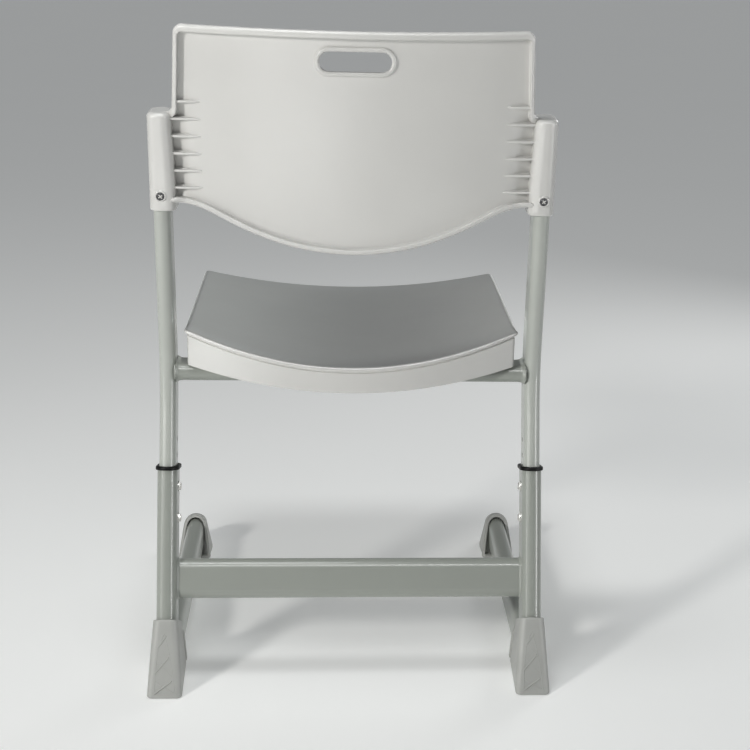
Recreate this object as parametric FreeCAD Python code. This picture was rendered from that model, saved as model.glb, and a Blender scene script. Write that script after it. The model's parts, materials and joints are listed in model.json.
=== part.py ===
import FreeCAD, Part
import math
import os

os.makedirs("parts", exist_ok=True)

V = FreeCAD.Vector

# ----------------------------------------------------------------- dimensions
# millimetres, Z up, +Y is the way the sitter faces, X across.
# The side frame is drawn in a local system whose Y starts at the heel of the
# rear boots; everything is moved by -Y_MID when it is written out.
Y_MID = 257.0            # half of the overall depth
HALF = 230.0             # centre line of each side frame

LEAN_LOW = 17.5          # lower uprights lean forward, degrees
LEAN_UP = 6.0            # upper uprights lean back, degrees
AXIS_Y0 = 33.0           # lower axis meets the floor plane here
UP_Y540 = 133.5          # upper axis is here at height 540
BEND_R = 220.0           # centre line radius of the bend

OUT_W, OUT_D, OUT_T = 25.0, 50.0, 1.2      # outer flat-oval tube
GAP = 1.0                                   # gap between the tubes all round
IN_W = OUT_W - 2 * (OUT_T + GAP)            # 20.6
IN_D = OUT_D - 2 * (OUT_T + GAP)            # 45.6
IN_T = 1.2

S_TOP = 275.0            # outer tube ends here, measured along the lower axis
S_COLLAR = 272.0         # underside of the collar band
COLLAR_H = 7.2
BOLT_S = (251.0, 211.0)  # lock bolts, 40 mm apart
INDEX_PITCH = 20.0
INDEX_LO = 131.0
INDEX_N = 10
S_INNER_BOTTOM = 118.0   # lower end of the sliding tube
Z_INNER_TOP = 698.0      # upper end, inside the backrest sleeve

FOOT_W, FOOT_D, FOOT_T = 25.0, 46.0, 1.5
FOOT_Z0 = 5.0            # underside of the foot tube
FOOT_Y0, FOOT_Y1 = 24.0, 484.0

STRETCH_S = 134.6

BOOT_H = 85.5            # rear boot rim, along the lower axis
BOOT_WALL = 3.2          # of the rim round the upright
HEEL_Y0, HEEL_Y1 = -4.0, 98.0
HEEL_HALF_REAR, HEEL_HALF_FRONT, HEEL_R = 22.0, 18.5, 8.0
PAD_T = 0.8              # rubber foot stands proud of the boot
PAD_IN = 2.0             # and sits this deep in it
PAD_R = 6.0
REAR_PAD = (8.0, 92.0, 14.0)                # y0, y1, half width
FRONT_PAD = (448.0, 504.0, 13.0)

# end planes of the boots in the YZ plane, as two points (y, z) each
TOE_END = ((103.0, 0.0), (93.0, 55.0))
TOE_LIP_END = ((106.0, 0.0), (96.0, 55.0))
TOE_LIP_START = ((98.0, 0.0), (88.0, 55.0))
TOE_MOUTH_START = ((99.0, 0.0), (89.0, 55.0))
TIP_START = ((436.0, 0.0), (470.0, 60.0))
TIP_LIP_START = ((435.5, 0.0), (469.5, 60.0))
TIP_LIP_END = ((441.0, 0.0), (475.0, 60.0))
TIP_MOUTH_END = ((450.0, 0.0), (484.0, 60.0))
HEEL_GAP, TIP_GAP = 2.2, 2.5                # shallow gap round the foot tube at the boots' mouths
MOUTH_Z0 = 3.6

# front boot sections: y, half width at the floor, top height, top radius
TIP_SECTIONS = ((425.0, 21.5, 58.0, 15.9), (474.0, 24.0, 58.0, 15.9), (488.0, 23.0, 54.0, 15.3),
                (501.0, 20.5, 47.0, 14.0), (511.0, 17.0, 38.5, 12.0), (518.0, 11.5, 26.0, 8.0))

FLANGE_R, FLANGE_H = 6.7, 1.0               # lock bolt
HEX_R, HEX_H = 5.6, 2.7
DOME_R = 8.6
SHANK_R = 3.0

RAIL_Y, RAIL_Z = 146.0, 383.0
RAIL_W, RAIL_D, RAIL_T = 46.0, 22.0, 1.5
ARM_X, ARM_W, ARM_H = 162.0, 26.0, 20.0
ARM_Y0, ARM_Y1 = 126.0, 432.0
ARM_Z0 = RAIL_Z + RAIL_D / 2.0
FRAIL_Y = 404.0

SEAT_HALF = 208.0
SEAT_Y0, SEAT_Y1 = 118.0, 478.0             # at the corners
SEAT_BULGE_R, SEAT_BULGE_F = 44.0, 22.0     # plan bow of rear and front edges
SEAT_Z = 439.0                              # rear corners
SEAT_T = 4.0
SCREW_Y = (150.0, 400.0)
LIP, LIP_H = 3.5, 6.5                       # rolled lip round the seat
APRON_T = 3.0
APRON_Z, APRON_RISE = 372.0, 23.0           # lower edge in the middle, rise to the sides
SEAT_RIB_X = (-120.0, -60.0, 0.0, 60.0, 120.0)
SEAT_RIB_Y = (200.0, 275.0, 350.0)
SEAT_RIB_HALF, SEAT_RIB_DEEP = 1.0, 7.0
SEAT_RIB_Z0, SEAT_RIB_Z1 = 398.0, 470.0
SEAT_BOSS_R, SEAT_PILOT_R = 8.5, 2.4

BACK_HALF = 213.0
BACK_Y650 = 113.0                           # panel edge at height 650
BACK_SLOPE = 0.14
BACK_BOW = 30.0
BACK_T = 4.0
RIM = 11.0                                  # rim stands this far behind the panel
BACK_TOP = 812.4
SLEEVE_W, SLEEVE_D = 27.0, 52.0
SLEEVE_Z0, SLEEVE_Z1 = 591.0, 709.0
RIB_Z0, RIB_PITCH, RIB_N = 618.8, 20.75, 6
RIB_T = 2.0
RIB_INNER = 182.0
SCREW_Z = 612.3
PANEL_X = 217.0                             # the panel's flanks, inside the sleeves
RIM_SIDE, RIM_UP, RIM_FOOT = 5.2, 8.8, 6.5  # rim widths
HAND_Z = 774.3
HAND_HX, HAND_HZ = 42.0, 11.4               # hand hole, half sizes
RING_HX, RING_HZ = 47.5, 16.5               # raised ring round it
RING_REAR, RING_FRONT = 3.2, 1.2
BOSS_R, BOSS_OUT = 6.6, 1.0                 # ring round the backrest screw
HEAD_BORE_R, HEAD_DEEP = 5.4, 1.4

# --------------------------------------------------------------- frame helpers
cl, sl = math.cos(math.radians(LEAN_LOW)), math.sin(math.radians(LEAN_LOW))
cu, su = math.cos(math.radians(LEAN_UP)), math.sin(math.radians(LEAN_UP))
U_LOW = V(0, sl, cl)                 # along the lower tube, upwards
N_LOW = V(0, cl, -sl)                # across it, towards the front
U_UP = V(0, -su, cu)
N_UP = V(0, cu, su)


def low(x, s):
    return V(x, AXIS_Y0 + s * sl, s * cl)


def up_at(x, z):
    """Point of the upper axis at height z."""
    return V(x, UP_Y540 - (z - 540.0) * su / cu, z)


# corner of the two centre lines
_k = sl / cl + su / cu
CORNER_Z = (UP_Y540 + 540.0 * su / cu - AXIS_Y0) / _k
CORNER_Y = AXIS_Y0 + CORNER_Z * sl / cl
S_CORNER = CORNER_Z / cl
TANGENT = BEND_R * math.tan(math.radians((LEAN_LOW + LEAN_UP) / 2.0))
S_BEND = S_CORNER - TANGENT


def stadium(origin, width, depth, n):
    """Closed flat-oval wire: width across X, depth along the unit vector n."""
    r = width / 2.0
    h = depth / 2.0 - r
    X = V(1, 0, 0)
    a = origin + n * h + X * r
    b = origin + n * h - X * r
    c = origin - n * h - X * r
    d = origin - n * h + X * r
    t1 = origin + n * (h + r)
    t2 = origin - n * (h + r)
    return Part.Wire([Part.Arc(a, t1, b).toShape(), Part.makeLine(b, c),
                      Part.Arc(c, t2, d).toShape(), Part.makeLine(d, a)])


def bar(origin, width, depth, n, vec):
    return Part.Face(stadium(origin, width, depth, n)).extrude(vec)


def low_bar(x, s0, s1, width, depth):
    return bar(low(x, s0), width, depth, N_LOW, U_LOW * (s1 - s0))


def bent_bar(x, s0, z1, width, depth):
    """Lower straight, bend, upper straight as one solid."""
    a = bar(low(x, s0), width, depth, N_LOW, U_LOW * (S_BEND - s0))
    centre = low(x, S_BEND) - N_LOW * BEND_R
    face = Part.Face(stadium(low(x, S_BEND), width, depth, N_LOW))
    b = face.revolve(centre, V(1, 0, 0), LEAN_LOW + LEAN_UP)
    start = V(x, CORNER_Y, CORNER_Z) + U_UP * TANGENT
    length = (up_at(x, z1) - start).Length
    c = bar(start, width, depth, N_UP, U_UP * length)
    return a.fuse(b).fuse(c).removeSplitter()


def cross_wire(origin, w, d, n, grow=0.0):
    """Closed flat-oval wire in a plane across X, its long way along n."""
    r = min(w, d) / 2.0 + grow
    h = (max(w, d) - min(w, d)) / 2.0
    m = V(1, 0, 0).cross(n)
    a, b = origin + n * h + m * r, origin + n * h - m * r
    c, e = origin - n * h - m * r, origin - n * h + m * r
    return Part.Wire([Part.Arc(a, origin + n * (h + r), b).toShape(), Part.makeLine(b, c),
                      Part.Arc(c, origin - n * (h + r), e).toShape(), Part.makeLine(e, a)])


def xbar(y, z, w, d, x0, x1, n):
    """Flat-oval bar lying along X, its long way along n."""
    return Part.Face(cross_wire(V(x0, y, z), w, d, n)).extrude(V(x1 - x0, 0, 0))


def box(x0, x1, y0, y1, z0, z1):
    return Part.makeBox(x1 - x0, y1 - y0, z1 - z0, V(x0, y0, z0))


def cyl(p, axis, r, h):
    return Part.makeCylinder(r, h, p, axis)


def try_fillet(shape, r, pick):
    edges = [e for e in shape.Edges if pick(e)]
    if not edges:
        return shape
    for rr in (r, r * 0.7, r * 0.4):
        try:
            out = shape.makeFillet(rr, edges)
            if out.isValid() and out.Volume > 0.8 * shape.Volume:
                return out
        except Exception:
            pass
    return shape


def save(name, shape):
    s = shape.copy()
    s.translate(V(0, -Y_MID, 0))
    if s.ShapeType == "Compound" and len(s.Solids) == 1:
        s = s.Solids[0]
    bb = s.BoundBox
    print("%-24s solids %d valid %s vol %.1f  x %.1f %.1f  y %.1f %.1f  z %.1f %.1f" % (
        name, len(s.Solids), s.isValid(), s.Volume / 1000.0,
        bb.XMin, bb.XMax, bb.YMin, bb.YMax, bb.ZMin, bb.ZMax))
    s.exportStep("parts/%s.step" % name)


# ------------------------------------------------------------------ base frame
def foot_envelope(x):
    f = Part.Face(stadium(V(x, FOOT_Y0, FOOT_Z0 + FOOT_D / 2.0), FOOT_W, FOOT_D, V(0, 0, 1)))
    return f.extrude(V(0, FOOT_Y1 - FOOT_Y0, 0))


def foot_tube(x):
    f = Part.Face(stadium(V(x, FOOT_Y0 - 1, FOOT_Z0 + FOOT_D / 2.0),
                          FOOT_W - 2 * FOOT_T, FOOT_D - 2 * FOOT_T, V(0, 0, 1)))
    return foot_envelope(x).cut(f.extrude(V(0, FOOT_Y1 - FOOT_Y0 + 2, 0)))


def outer_tube(x, side):
    t = low_bar(x, 30.0, S_TOP, OUT_W, OUT_D)
    t = t.cut(low_bar(x, 20.0, S_TOP + 5, OUT_W - 2 * OUT_T, OUT_D - 2 * OUT_T))
    t = t.cut(foot_envelope(x))
    t = t.cut(box(x - 40, x + 40, -50, 300, -20, FOOT_Z0 + FOOT_D / 2.0 + 6))
    for s in BOLT_S:
        p = low(x, s)
        t = t.cut(cyl(p, V(-side, 0, 0), 3.1, 20))
    return max(t.Solids, key=lambda q: q.Volume)


def weld_ring(y, z, w, d, n, x_face, x_end, grow):
    """Tapered bead: wide at x_face, dying into the bar at x_end."""
    wide = cross_wire(V(x_face, y, z), w, d, n, grow)
    thin = cross_wire(V(x_end, y, z), w, d, n, 0.05)
    return Part.makeLoft([wide, thin], True, True)


def stretcher():
    p = low(0, STRETCH_S)
    xe = HALF - OUT_W / 2.0
    s = xbar(p.y, p.z, OUT_D, 25.0, -xe, xe, U_LOW)
    for sd in (-1, 1):
        s = s.fuse(weld_ring(p.y, p.z, OUT_D, 25.0, U_LOW, sd * xe, sd * (xe - 2.5), 2.0))
    s = s.cut(xbar(p.y, p.z, OUT_D - 3.0, 22.0, -xe - 5, xe + 5, U_LOW))
    for sd in (-1, 1):
        s = s.cut(low_bar(sd * HALF, STRETCH_S - 60, STRETCH_S + 60, OUT_W, OUT_D))
    return max(s.removeSplitter().Solids, key=lambda q: q.Volume)


def collar(x):
    g = 2.3
    c = low_bar(x, S_COLLAR, S_COLLAR + COLLAR_H, OUT_W + 2 * g, OUT_D + 2 * g)
    c = try_fillet(c, 1.6, lambda e: abs((e.BoundBox.Center - low(x, S_COLLAR)).dot(U_LOW)) > -1
                   and (e.BoundBox.DiagonalLength > 5)
                   and abs(((e.Vertexes[0].Point - e.Vertexes[-1].Point).normalize()
                            if len(e.Vertexes) > 1 and e.Length > 1 else V(1, 0, 0)).dot(U_LOW)) < 0.5)
    c = c.cut(low_bar(x, S_COLLAR - 1, S_TOP, OUT_W, OUT_D))
    c = c.cut(low_bar(x, S_COLLAR - 1, S_COLLAR + COLLAR_H + 1, IN_W + 0.7, IN_D + 0.7))
    return c


def lock_bolt(x, side, s):
    """Flanged hex bolt on the inner flat of the outer tube, drawn backed off."""
    face = low(x - side * OUT_W / 2.0, s)
    ax = V(-side, 0, 0)
    b = cyl(face, ax, FLANGE_R, FLANGE_H)
    hexa = []
    for i in range(6):
        a = math.radians(60 * i + 30)
        hexa.append(face + ax * FLANGE_H + U_LOW * (HEX_R * math.cos(a)) + N_LOW * (HEX_R * math.sin(a)))
    b = b.fuse(Part.Face(Part.makePolygon(hexa + [hexa[0]])).extrude(ax * HEX_H))
    # the sphere rounds the corners of the hexagon and leaves the flange whole
    dome = Part.makeSphere(DOME_R, face + ax * (FLANGE_H + HEX_H - DOME_R + 0.7))
    b = b.common(dome.fuse(cyl(face, ax, FLANGE_R + 0.5, FLANGE_H + 0.6)))
    b = b.fuse(cyl(face - ax * (OUT_T - 0.05), ax, SHANK_R, 2.0))
    return b.removeSplitter()


def arch(x, y, half, z_top, r_top, z0=0.0):
    """Arch profile in the XZ plane: flat foot, sides drawing in, round top."""
    k = r_top
    pts = [V(x - half, y, z0), V(x - half + 0.3, y, z0 + 4.0), V(x - k, y, z_top - k)]
    q = [V(2 * x - p.x, y, p.z) for p in pts]
    edges = [Part.makeLine(pts[0], pts[1]), Part.makeLine(pts[1], pts[2]),
             Part.Arc(pts[2], V(x, y, z_top), q[2]).toShape(),
             Part.makeLine(q[2], q[1]), Part.makeLine(q[1], q[0]), Part.makeLine(q[0], pts[0])]
    return Part.Wire(edges)


def rounded_rect(x, y0, y1, z, half, r, half1=None):
    """Rounded plan outline, half wide at y0 and half1 wide at y1."""
    g = half if half1 is None else half1
    a = [V(x - half + r, y0, z), V(x + half - r, y0, z), V(x + half, y0 + r, z), V(x + g, y1 - r, z),
         V(x + g - r, y1, z), V(x - g + r, y1, z), V(x - g, y1 - r, z), V(x - half, y0 + r, z)]
    k = r * (1 - math.sqrt(0.5))

    def arc(p, q, cx, cy):
        return Part.Arc(p, V(cx, cy, z), q).toShape()
    return Part.Wire([Part.makeLine(a[0], a[1]), arc(a[1], a[2], x + half - k, y0 + k),
                      Part.makeLine(a[2], a[3]), arc(a[3], a[4], x + g - k, y1 - k),
                      Part.makeLine(a[4], a[5]), arc(a[5], a[6], x - g + k, y1 - k),
                      Part.makeLine(a[6], a[7]), arc(a[7], a[0], x - half + k, y0 + k)])


def matched_stadium(x, s, width, depth):
    """Flat-oval wire with eight edges so that it lofts to rounded_rect."""
    o = low(x, s)
    r = width / 2.0
    h = depth / 2.0 - r
    X = V(1, 0, 0)
    q = math.sqrt(0.5)
    near, far = o - N_LOW * h, o + N_LOW * h

    def on(c, ang):
        return c + X * (r * math.cos(ang)) + N_LOW * (r * math.sin(ang))
    a0 = on(near, math.radians(-90 - 12))
    a1 = on(near, math.radians(-90 + 12))
    a2 = near + X * r
    a3 = far + X * r
    a4 = on(far, math.radians(90 - 12))
    a5 = on(far, math.radians(90 + 12))
    a6 = far - X * r
    a7 = near - X * r
    return Part.Wire([Part.Arc(a0, on(near, math.radians(-90)), a1).toShape(),
                      Part.Arc(a1, on(near, math.radians(-39)), a2).toShape(),
                      Part.makeLine(a2, a3),
                      Part.Arc(a3, on(far, math.radians(39)), a4).toShape(),
                      Part.Arc(a4, on(far, math.radians(90)), a5).toShape(),
                      Part.Arc(a5, on(far, math.radians(141)), a6).toShape(),
                      Part.makeLine(a6, a7),
                      Part.Arc(a7, on(near, math.radians(219)), a0).toShape()])


def half_space(p0, p1, keep_low, x):
    """Big prism in front of (or behind) the line p0-p1 in the YZ plane."""
    d = V(0, p1[0] - p0[0], p1[1] - p0[1]).normalize()
    a = V(x - 60, p0[0], p0[1]) - d * 200
    b = V(x - 60, p0[0], p0[1]) + d * 400
    n = V(0, d.z, -d.y) * (300 if not keep_low else -300)
    return Part.Face(Part.makePolygon([a, b, b + n, a + n, a])).extrude(V(120, 0, 0))


def pad_block(x, pad, z, height):
    """Rubber foot, or the pocket it sits in, upwards from z."""
    y0, y1, half = pad
    return Part.Face(rounded_rect(x, y0, y1, z, half, PAD_R)).extrude(V(0, 0, height))


def mouth_block(x, y, length, gap):
    """Foot tube's section grown by the gap at a boot's mouth."""
    size = (FOOT_W + 2 * gap, FOOT_D + 2 * gap)
    face = Part.Face(stadium(V(x, y, FOOT_Z0 + FOOT_D / 2.0), size[0], size[1], V(0, 0, 1)))
    return face.extrude(V(0, length, 0))


def rear_boot(x):
    z0 = PAD_T
    # heel block that rises into the rim round the upright
    heel = rounded_rect(x, HEEL_Y0, HEEL_Y1, z0, HEEL_HALF_REAR, HEEL_R, HEEL_HALF_FRONT)
    rim = matched_stadium(x, BOOT_H, OUT_W + 2 * BOOT_WALL, OUT_D + 2 * BOOT_WALL)
    body = Part.makeLoft([heel, rim], True, True)
    # short toe and raised lip where the foot tube leaves
    toe = Part.Face(arch(x, 50.0, 17.5, 54.5, 15.8, z0)).extrude(V(0, 80.0, 0))
    body = body.fuse(toe.cut(half_space(*TOE_END, False, x)))
    lip = Part.Face(arch(x, 50.0, 19.0, 56.0, 17.2, z0)).extrude(V(0, 80.0, 0))
    lip = lip.cut(half_space(*TOE_LIP_END, False, x))
    lip = lip.cut(half_space(*TOE_LIP_START, True, x))
    body = body.fuse(lip)
    body = max(body.Solids, key=lambda q: q.Volume)
    mouth = mouth_block(x, 80.0, 60.0, HEEL_GAP).cut(half_space(*TOE_MOUTH_START, True, x))
    body = body.cut(mouth.common(box(x - 40, x + 40, 60, 200, MOUTH_Z0, 90)))
    body = body.cut(foot_envelope(x))
    body = body.cut(low_bar(x, 40.0, BOOT_H + 5, OUT_W, OUT_D))
    body = body.cut(low_bar(x, 20.0, 62.0, OUT_W, OUT_D).cut(box(x - 40, x + 40, -50, 300, -60, 28)))
    body = body.cut(pad_block(x, REAR_PAD, z0 - 1, PAD_IN + 1))
    return max(body.Solids, key=lambda q: q.Volume)


def rear_pad(x):
    return pad_block(x, REAR_PAD, 0.0, PAD_T + PAD_IN)


def front_boot(x):
    z0 = PAD_T
    secs = [arch(x, y, half, top, radius, z0) for y, half, top, radius in TIP_SECTIONS]
    body = Part.makeLoft(secs[:2], True, True)
    for a, b in zip(secs[1:-1], secs[2:]):
        body = body.fuse(Part.makeLoft([a, b], True, True))
    body = body.cut(half_space(*TIP_START, True, x))
    lip = Part.Face(arch(x, 425.0, 23.6, 59.6, 17.2, z0)).extrude(V(0, 110.0, 0))
    lip = lip.cut(half_space(*TIP_LIP_START, True, x))
    lip = lip.cut(half_space(*TIP_LIP_END, False, x))
    body = body.fuse(lip)
    mouth = mouth_block(x, 420.0, 80.0, TIP_GAP).cut(half_space(*TIP_MOUTH_END, False, x))
    body = body.cut(mouth.common(box(x - 40, x + 40, 400, 600, MOUTH_Z0, 90)))
    body = body.cut(foot_envelope(x))
    body = body.cut(pad_block(x, FRONT_PAD, z0 - 1, PAD_IN + 1))
    return max(body.removeSplitter().Solids, key=lambda q: q.Volume)


def front_pad(x):
    return pad_block(x, FRONT_PAD, 0.0, PAD_T + PAD_IN)


# ----------------------------------------------------------------- upper frame
def inner_tube(x, side):
    t = bent_bar(x, S_INNER_BOTTOM, Z_INNER_TOP, IN_W, IN_D)
    h = bent_bar(x, S_INNER_BOTTOM - 5, Z_INNER_TOP + 5, IN_W - 2 * IN_T, IN_D - 2 * IN_T)
    t = t.cut(h)
    for i in range(INDEX_N):
        t = t.cut(cyl(low(x, INDEX_LO + i * INDEX_PITCH), V(-side, 0, 0), 3.5, 20))
    p = up_at(x, SCREW_Z)
    t = t.cut(cyl(p, N_UP * -1, 2.0, 40))
    return t


def glide_plug(x):
    p = low_bar(x, S_INNER_BOTTOM - 5, S_INNER_BOTTOM, IN_W + 1.3, IN_D + 1.3)
    return p.fuse(low_bar(x, S_INNER_BOTTOM - 1, S_INNER_BOTTOM + 8,
                          IN_W - 2 * IN_T, IN_D - 2 * IN_T)).removeSplitter()


def tube_envelope(x):
    return bent_bar(x, S_BEND - 60, 480.0, IN_W, IN_D)


def rear_rail():
    xe = HALF - IN_W / 2.0
    N = V(0, 1, 0)
    s = xbar(RAIL_Y, RAIL_Z, RAIL_D, RAIL_W, -xe - 8, xe + 8, N)
    for sd in (-1, 1):
        s = s.fuse(weld_ring(RAIL_Y, RAIL_Z, RAIL_D, RAIL_W, N, sd * (xe + 0.0), sd * (xe - 4.0), 3.0))
    s = s.cut(xbar(RAIL_Y, RAIL_Z, RAIL_D - 2 * RAIL_T, RAIL_W - 2 * RAIL_T, -xe - 9, xe + 9, N))
    for sd in (-1, 1):
        s = s.cut(tube_envelope(sd * HALF))
        a, b = sorted((sd * (HALF - 8.3), sd * (HALF + 11.0)))
        s = s.cut(box(a, b, 80, 220, 340, 430))
    return max(s.removeSplitter().Solids, key=lambda q: q.Volume)


def seat_arm(sd):
    x = sd * ARM_X
    a = box(x - ARM_W / 2, x + ARM_W / 2, ARM_Y0, ARM_Y1, ARM_Z0, ARM_Z0 + ARM_H)
    a = try_fillet(a, 2.5, lambda e: abs((e.Vertexes[0].Point - e.Vertexes[-1].Point).y) > 50)
    a = a.cut(box(x - ARM_W / 2 + 1.5, x + ARM_W / 2 - 1.5, ARM_Y0 - 1, ARM_Y1 + 1,
                  ARM_Z0 + 1.5, ARM_Z0 + ARM_H - 1.5))
    for y in SCREW_Y:
        a = a.cut(cyl(V(x, y, ARM_Z0 + ARM_H - 4), V(0, 0, 1), 2.9, 8))
        a = a.cut(cyl(V(x, y, ARM_Z0 - 1), V(0, 0, 1), 6.0, 6))
    return a


def front_rail():
    z1 = ARM_Z0
    r = box(-165, 165, FRAIL_Y, FRAIL_Y + 25, z1 - 15, z1)
    r = try_fillet(r, 2.0, lambda e: abs((e.Vertexes[0].Point - e.Vertexes[-1].Point).x) > 50)
    return r.cut(box(-166, 166, FRAIL_Y + 1.5, FRAIL_Y + 23.5, z1 - 13.5, z1 - 1.5))


# ------------------------------------------------------------------ seat shell
def seat_z(x, y):
    t = (y - SEAT_Y0) / (SEAT_Y1 - SEAT_Y0)
    tc = min(max(t, -0.15), 1.08)
    edge = SEAT_Z + 3.0 * tc
    sag = 36.0 - 7.5 * tc
    w = 1.0 - (x / SEAT_HALF) ** 2
    z = edge - sag * w
    z -= 5.0 * math.sin(math.pi * min(max(tc, 0.0), 1.0)) * max(w, 0.0)
    # turned-up heel and rolled-down front edge
    yr = SEAT_Y0 - SEAT_BULGE_R * max(w, 0.0)
    yf = SEAT_Y1 + SEAT_BULGE_F * max(w, 0.0)
    d = max(0.0, 1.0 - (y - yr) / 42.0)
    z += 5.0 * d * d
    f = max(0.0, 1.0 - (yf - y) / 55.0)
    z -= 4.0 * f * f
    return z


def grid_face(fn, x0, x1, nx, y0, y1, ny):
    rows = []
    for j in range(ny):
        y = y0 + (y1 - y0) * j / (ny - 1)
        rows.append([V(x0 + (x1 - x0) * i / (nx - 1), y, fn(x0 + (x1 - x0) * i / (nx - 1), y))
                     for i in range(nx)])
    s = Part.BSplineSurface()
    s.interpolate(rows)
    return s.toShape()


def seat_below(t):
    """Everything lower than the top skin minus t."""
    f = grid_face(lambda x, y: seat_z(x, y) - t, -225, 225, 19, 60, 512, 25)
    return f.extrude(V(0, 0, -170))


def seat_outline(inset, z, h):
    a = SEAT_HALF - inset
    y0, y1 = SEAT_Y0 + inset, SEAT_Y1 - inset
    r = max(14.0 - inset, 4.0)
    rear = Part.BSplineCurve()
    rr = [V(x, y0 - SEAT_BULGE_R * (1 - (x / a) ** 2), z)
          for x in [-a + (2 * a) * i / 12.0 for i in range(13)]]
    rear.interpolate(rr)
    front = Part.BSplineCurve()
    ff = [V(x, y1 + SEAT_BULGE_F * (1 - (x / a) ** 2), z)
          for x in [a - (2 * a) * i / 12.0 for i in range(13)]]
    front.interpolate(ff)
    w = Part.Wire([rear.toShape(), Part.makeLine(rr[-1], ff[0]),
                   front.toShape(), Part.makeLine(ff[-1], rr[0])])
    p = Part.Face(w).extrude(V(0, 0, h))
    return try_fillet(p, r, lambda e: e.BoundBox.ZLength > h * 0.9 and e.BoundBox.XLength < 1)


def apron_cutter():
    """Everything under the apron's lower edge: level fore and aft, dipping in the middle."""
    n = 14
    reach = 230.0
    pts = []
    for i in range(n + 1):
        x = -reach + 2 * reach * i / n
        pts.append(V(x, 40, APRON_Z + APRON_RISE * (x / (SEAT_HALF - LIP)) ** 2))
    c = Part.BSplineCurve()
    c.interpolate(pts)
    w = Part.Wire([c.toShape(), Part.makeLine(pts[-1], V(reach, 40, 300)),
                   Part.makeLine(V(reach, 40, 300), V(-reach, 40, 300)),
                   Part.makeLine(V(-reach, 40, 300), pts[0])])
    return Part.Face(w).extrude(V(0, 480, 0))


def seat_ribs():
    """Upright sheets under the seat, not yet cut to its underside."""
    t = SEAT_RIB_HALF
    ribs = [box(x - t, x + t, 92, 486, SEAT_RIB_Z0, SEAT_RIB_Z1) for x in SEAT_RIB_X]
    return ribs + [box(-132, 132, y - t, y + t, SEAT_RIB_Z0, SEAT_RIB_Z1) for y in SEAT_RIB_Y]


def seat_shell():
    z0, h = 340.0, 130.0
    body = seat_outline(0.0, z0, h).common(seat_below(0.0))
    # step in below the rolled lip
    band = seat_outline(0.0, z0, h).cut(seat_outline(LIP, z0 - 1, h + 2))
    body = body.cut(band.common(seat_below(LIP_H)))
    # hollow underside
    body = body.cut(seat_outline(LIP + APRON_T, z0 - 1, h + 2).common(seat_below(SEAT_T)))
    body = body.cut(apron_cutter())
    body = max(body.Solids, key=lambda q: q.Volume)
    # moulded ribs and screw bosses underneath
    under = seat_below(SEAT_T - 0.5)
    deep = seat_below(SEAT_T + SEAT_RIB_DEEP)
    clip = seat_outline(LIP + 2.0, z0, h)
    for r in seat_ribs():
        body = body.fuse(r.common(under).cut(deep).common(clip))
    for sx in (-1, 1):
        for y in SCREW_Y:
            boss = cyl(V(sx * ARM_X, y, ARM_Z0 + ARM_H), V(0, 0, 1), SEAT_BOSS_R, 40)
            body = body.fuse(boss.common(under))
    for sx in (-1, 1):
        for y in SCREW_Y:
            body = body.cut(cyl(V(sx * ARM_X, y, ARM_Z0 + ARM_H - 1), V(0, 0, 1), SEAT_PILOT_R, 7.0))
    return max(body.Solids, key=lambda q: q.Volume)


def seat_screw(sx, y):
    z = ARM_Z0 + ARM_H
    s = cyl(V(sx * ARM_X, y, z - 1.5 - 3.0), V(0, 0, 1), 4.6, 3.0)
    s = s.fuse(cyl(V(sx * ARM_X, y, z - 1.6), V(0, 0, 1), 2.3, 1.6 + 5.5))
    s = s.cut(box(sx * ARM_X - 3.2, sx * ARM_X + 3.2, y - 0.5, y + 0.5, z - 5, z - 3.2))
    s = s.cut(box(sx * ARM_X - 0.5, sx * ARM_X + 0.5, y - 3.2, y + 3.2, z - 5, z - 3.2))
    return s


# -------------------------------------------------------------- backrest shell
def back_y(x, z):
    return BACK_Y650 - BACK_SLOPE * (z - 650.0) - BACK_BOW * (1 - (x / BACK_HALF) ** 2)


def back_face(off):
    rows = []
    for j in range(9):
        z = 520.0 + 310.0 * j / 8
        rows.append([V(x, back_y(x, z) + off, z) for x in [-235 + 470.0 * i / 18 for i in range(19)]])
    s = Part.BSplineSurface()
    s.interpolate(rows)
    return s.toShape()


def slab(a, b):
    """Region between the panel skin offset a and offset b along Y."""
    return back_face(a).extrude(V(0, b - a, 0))


BOTTOM = [(0.0, 543.0), (35.0, 545.2), (63.0, 549.5), (82.0, 554.0), (102.0, 560.3),
          (125.0, 569.0), (147.0, 578.9), (165.0, 587.9), (180.0, 594.6), (192.0, 598.3),
          (204.0, 600.4), (217.0, 601.0)]


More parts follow.
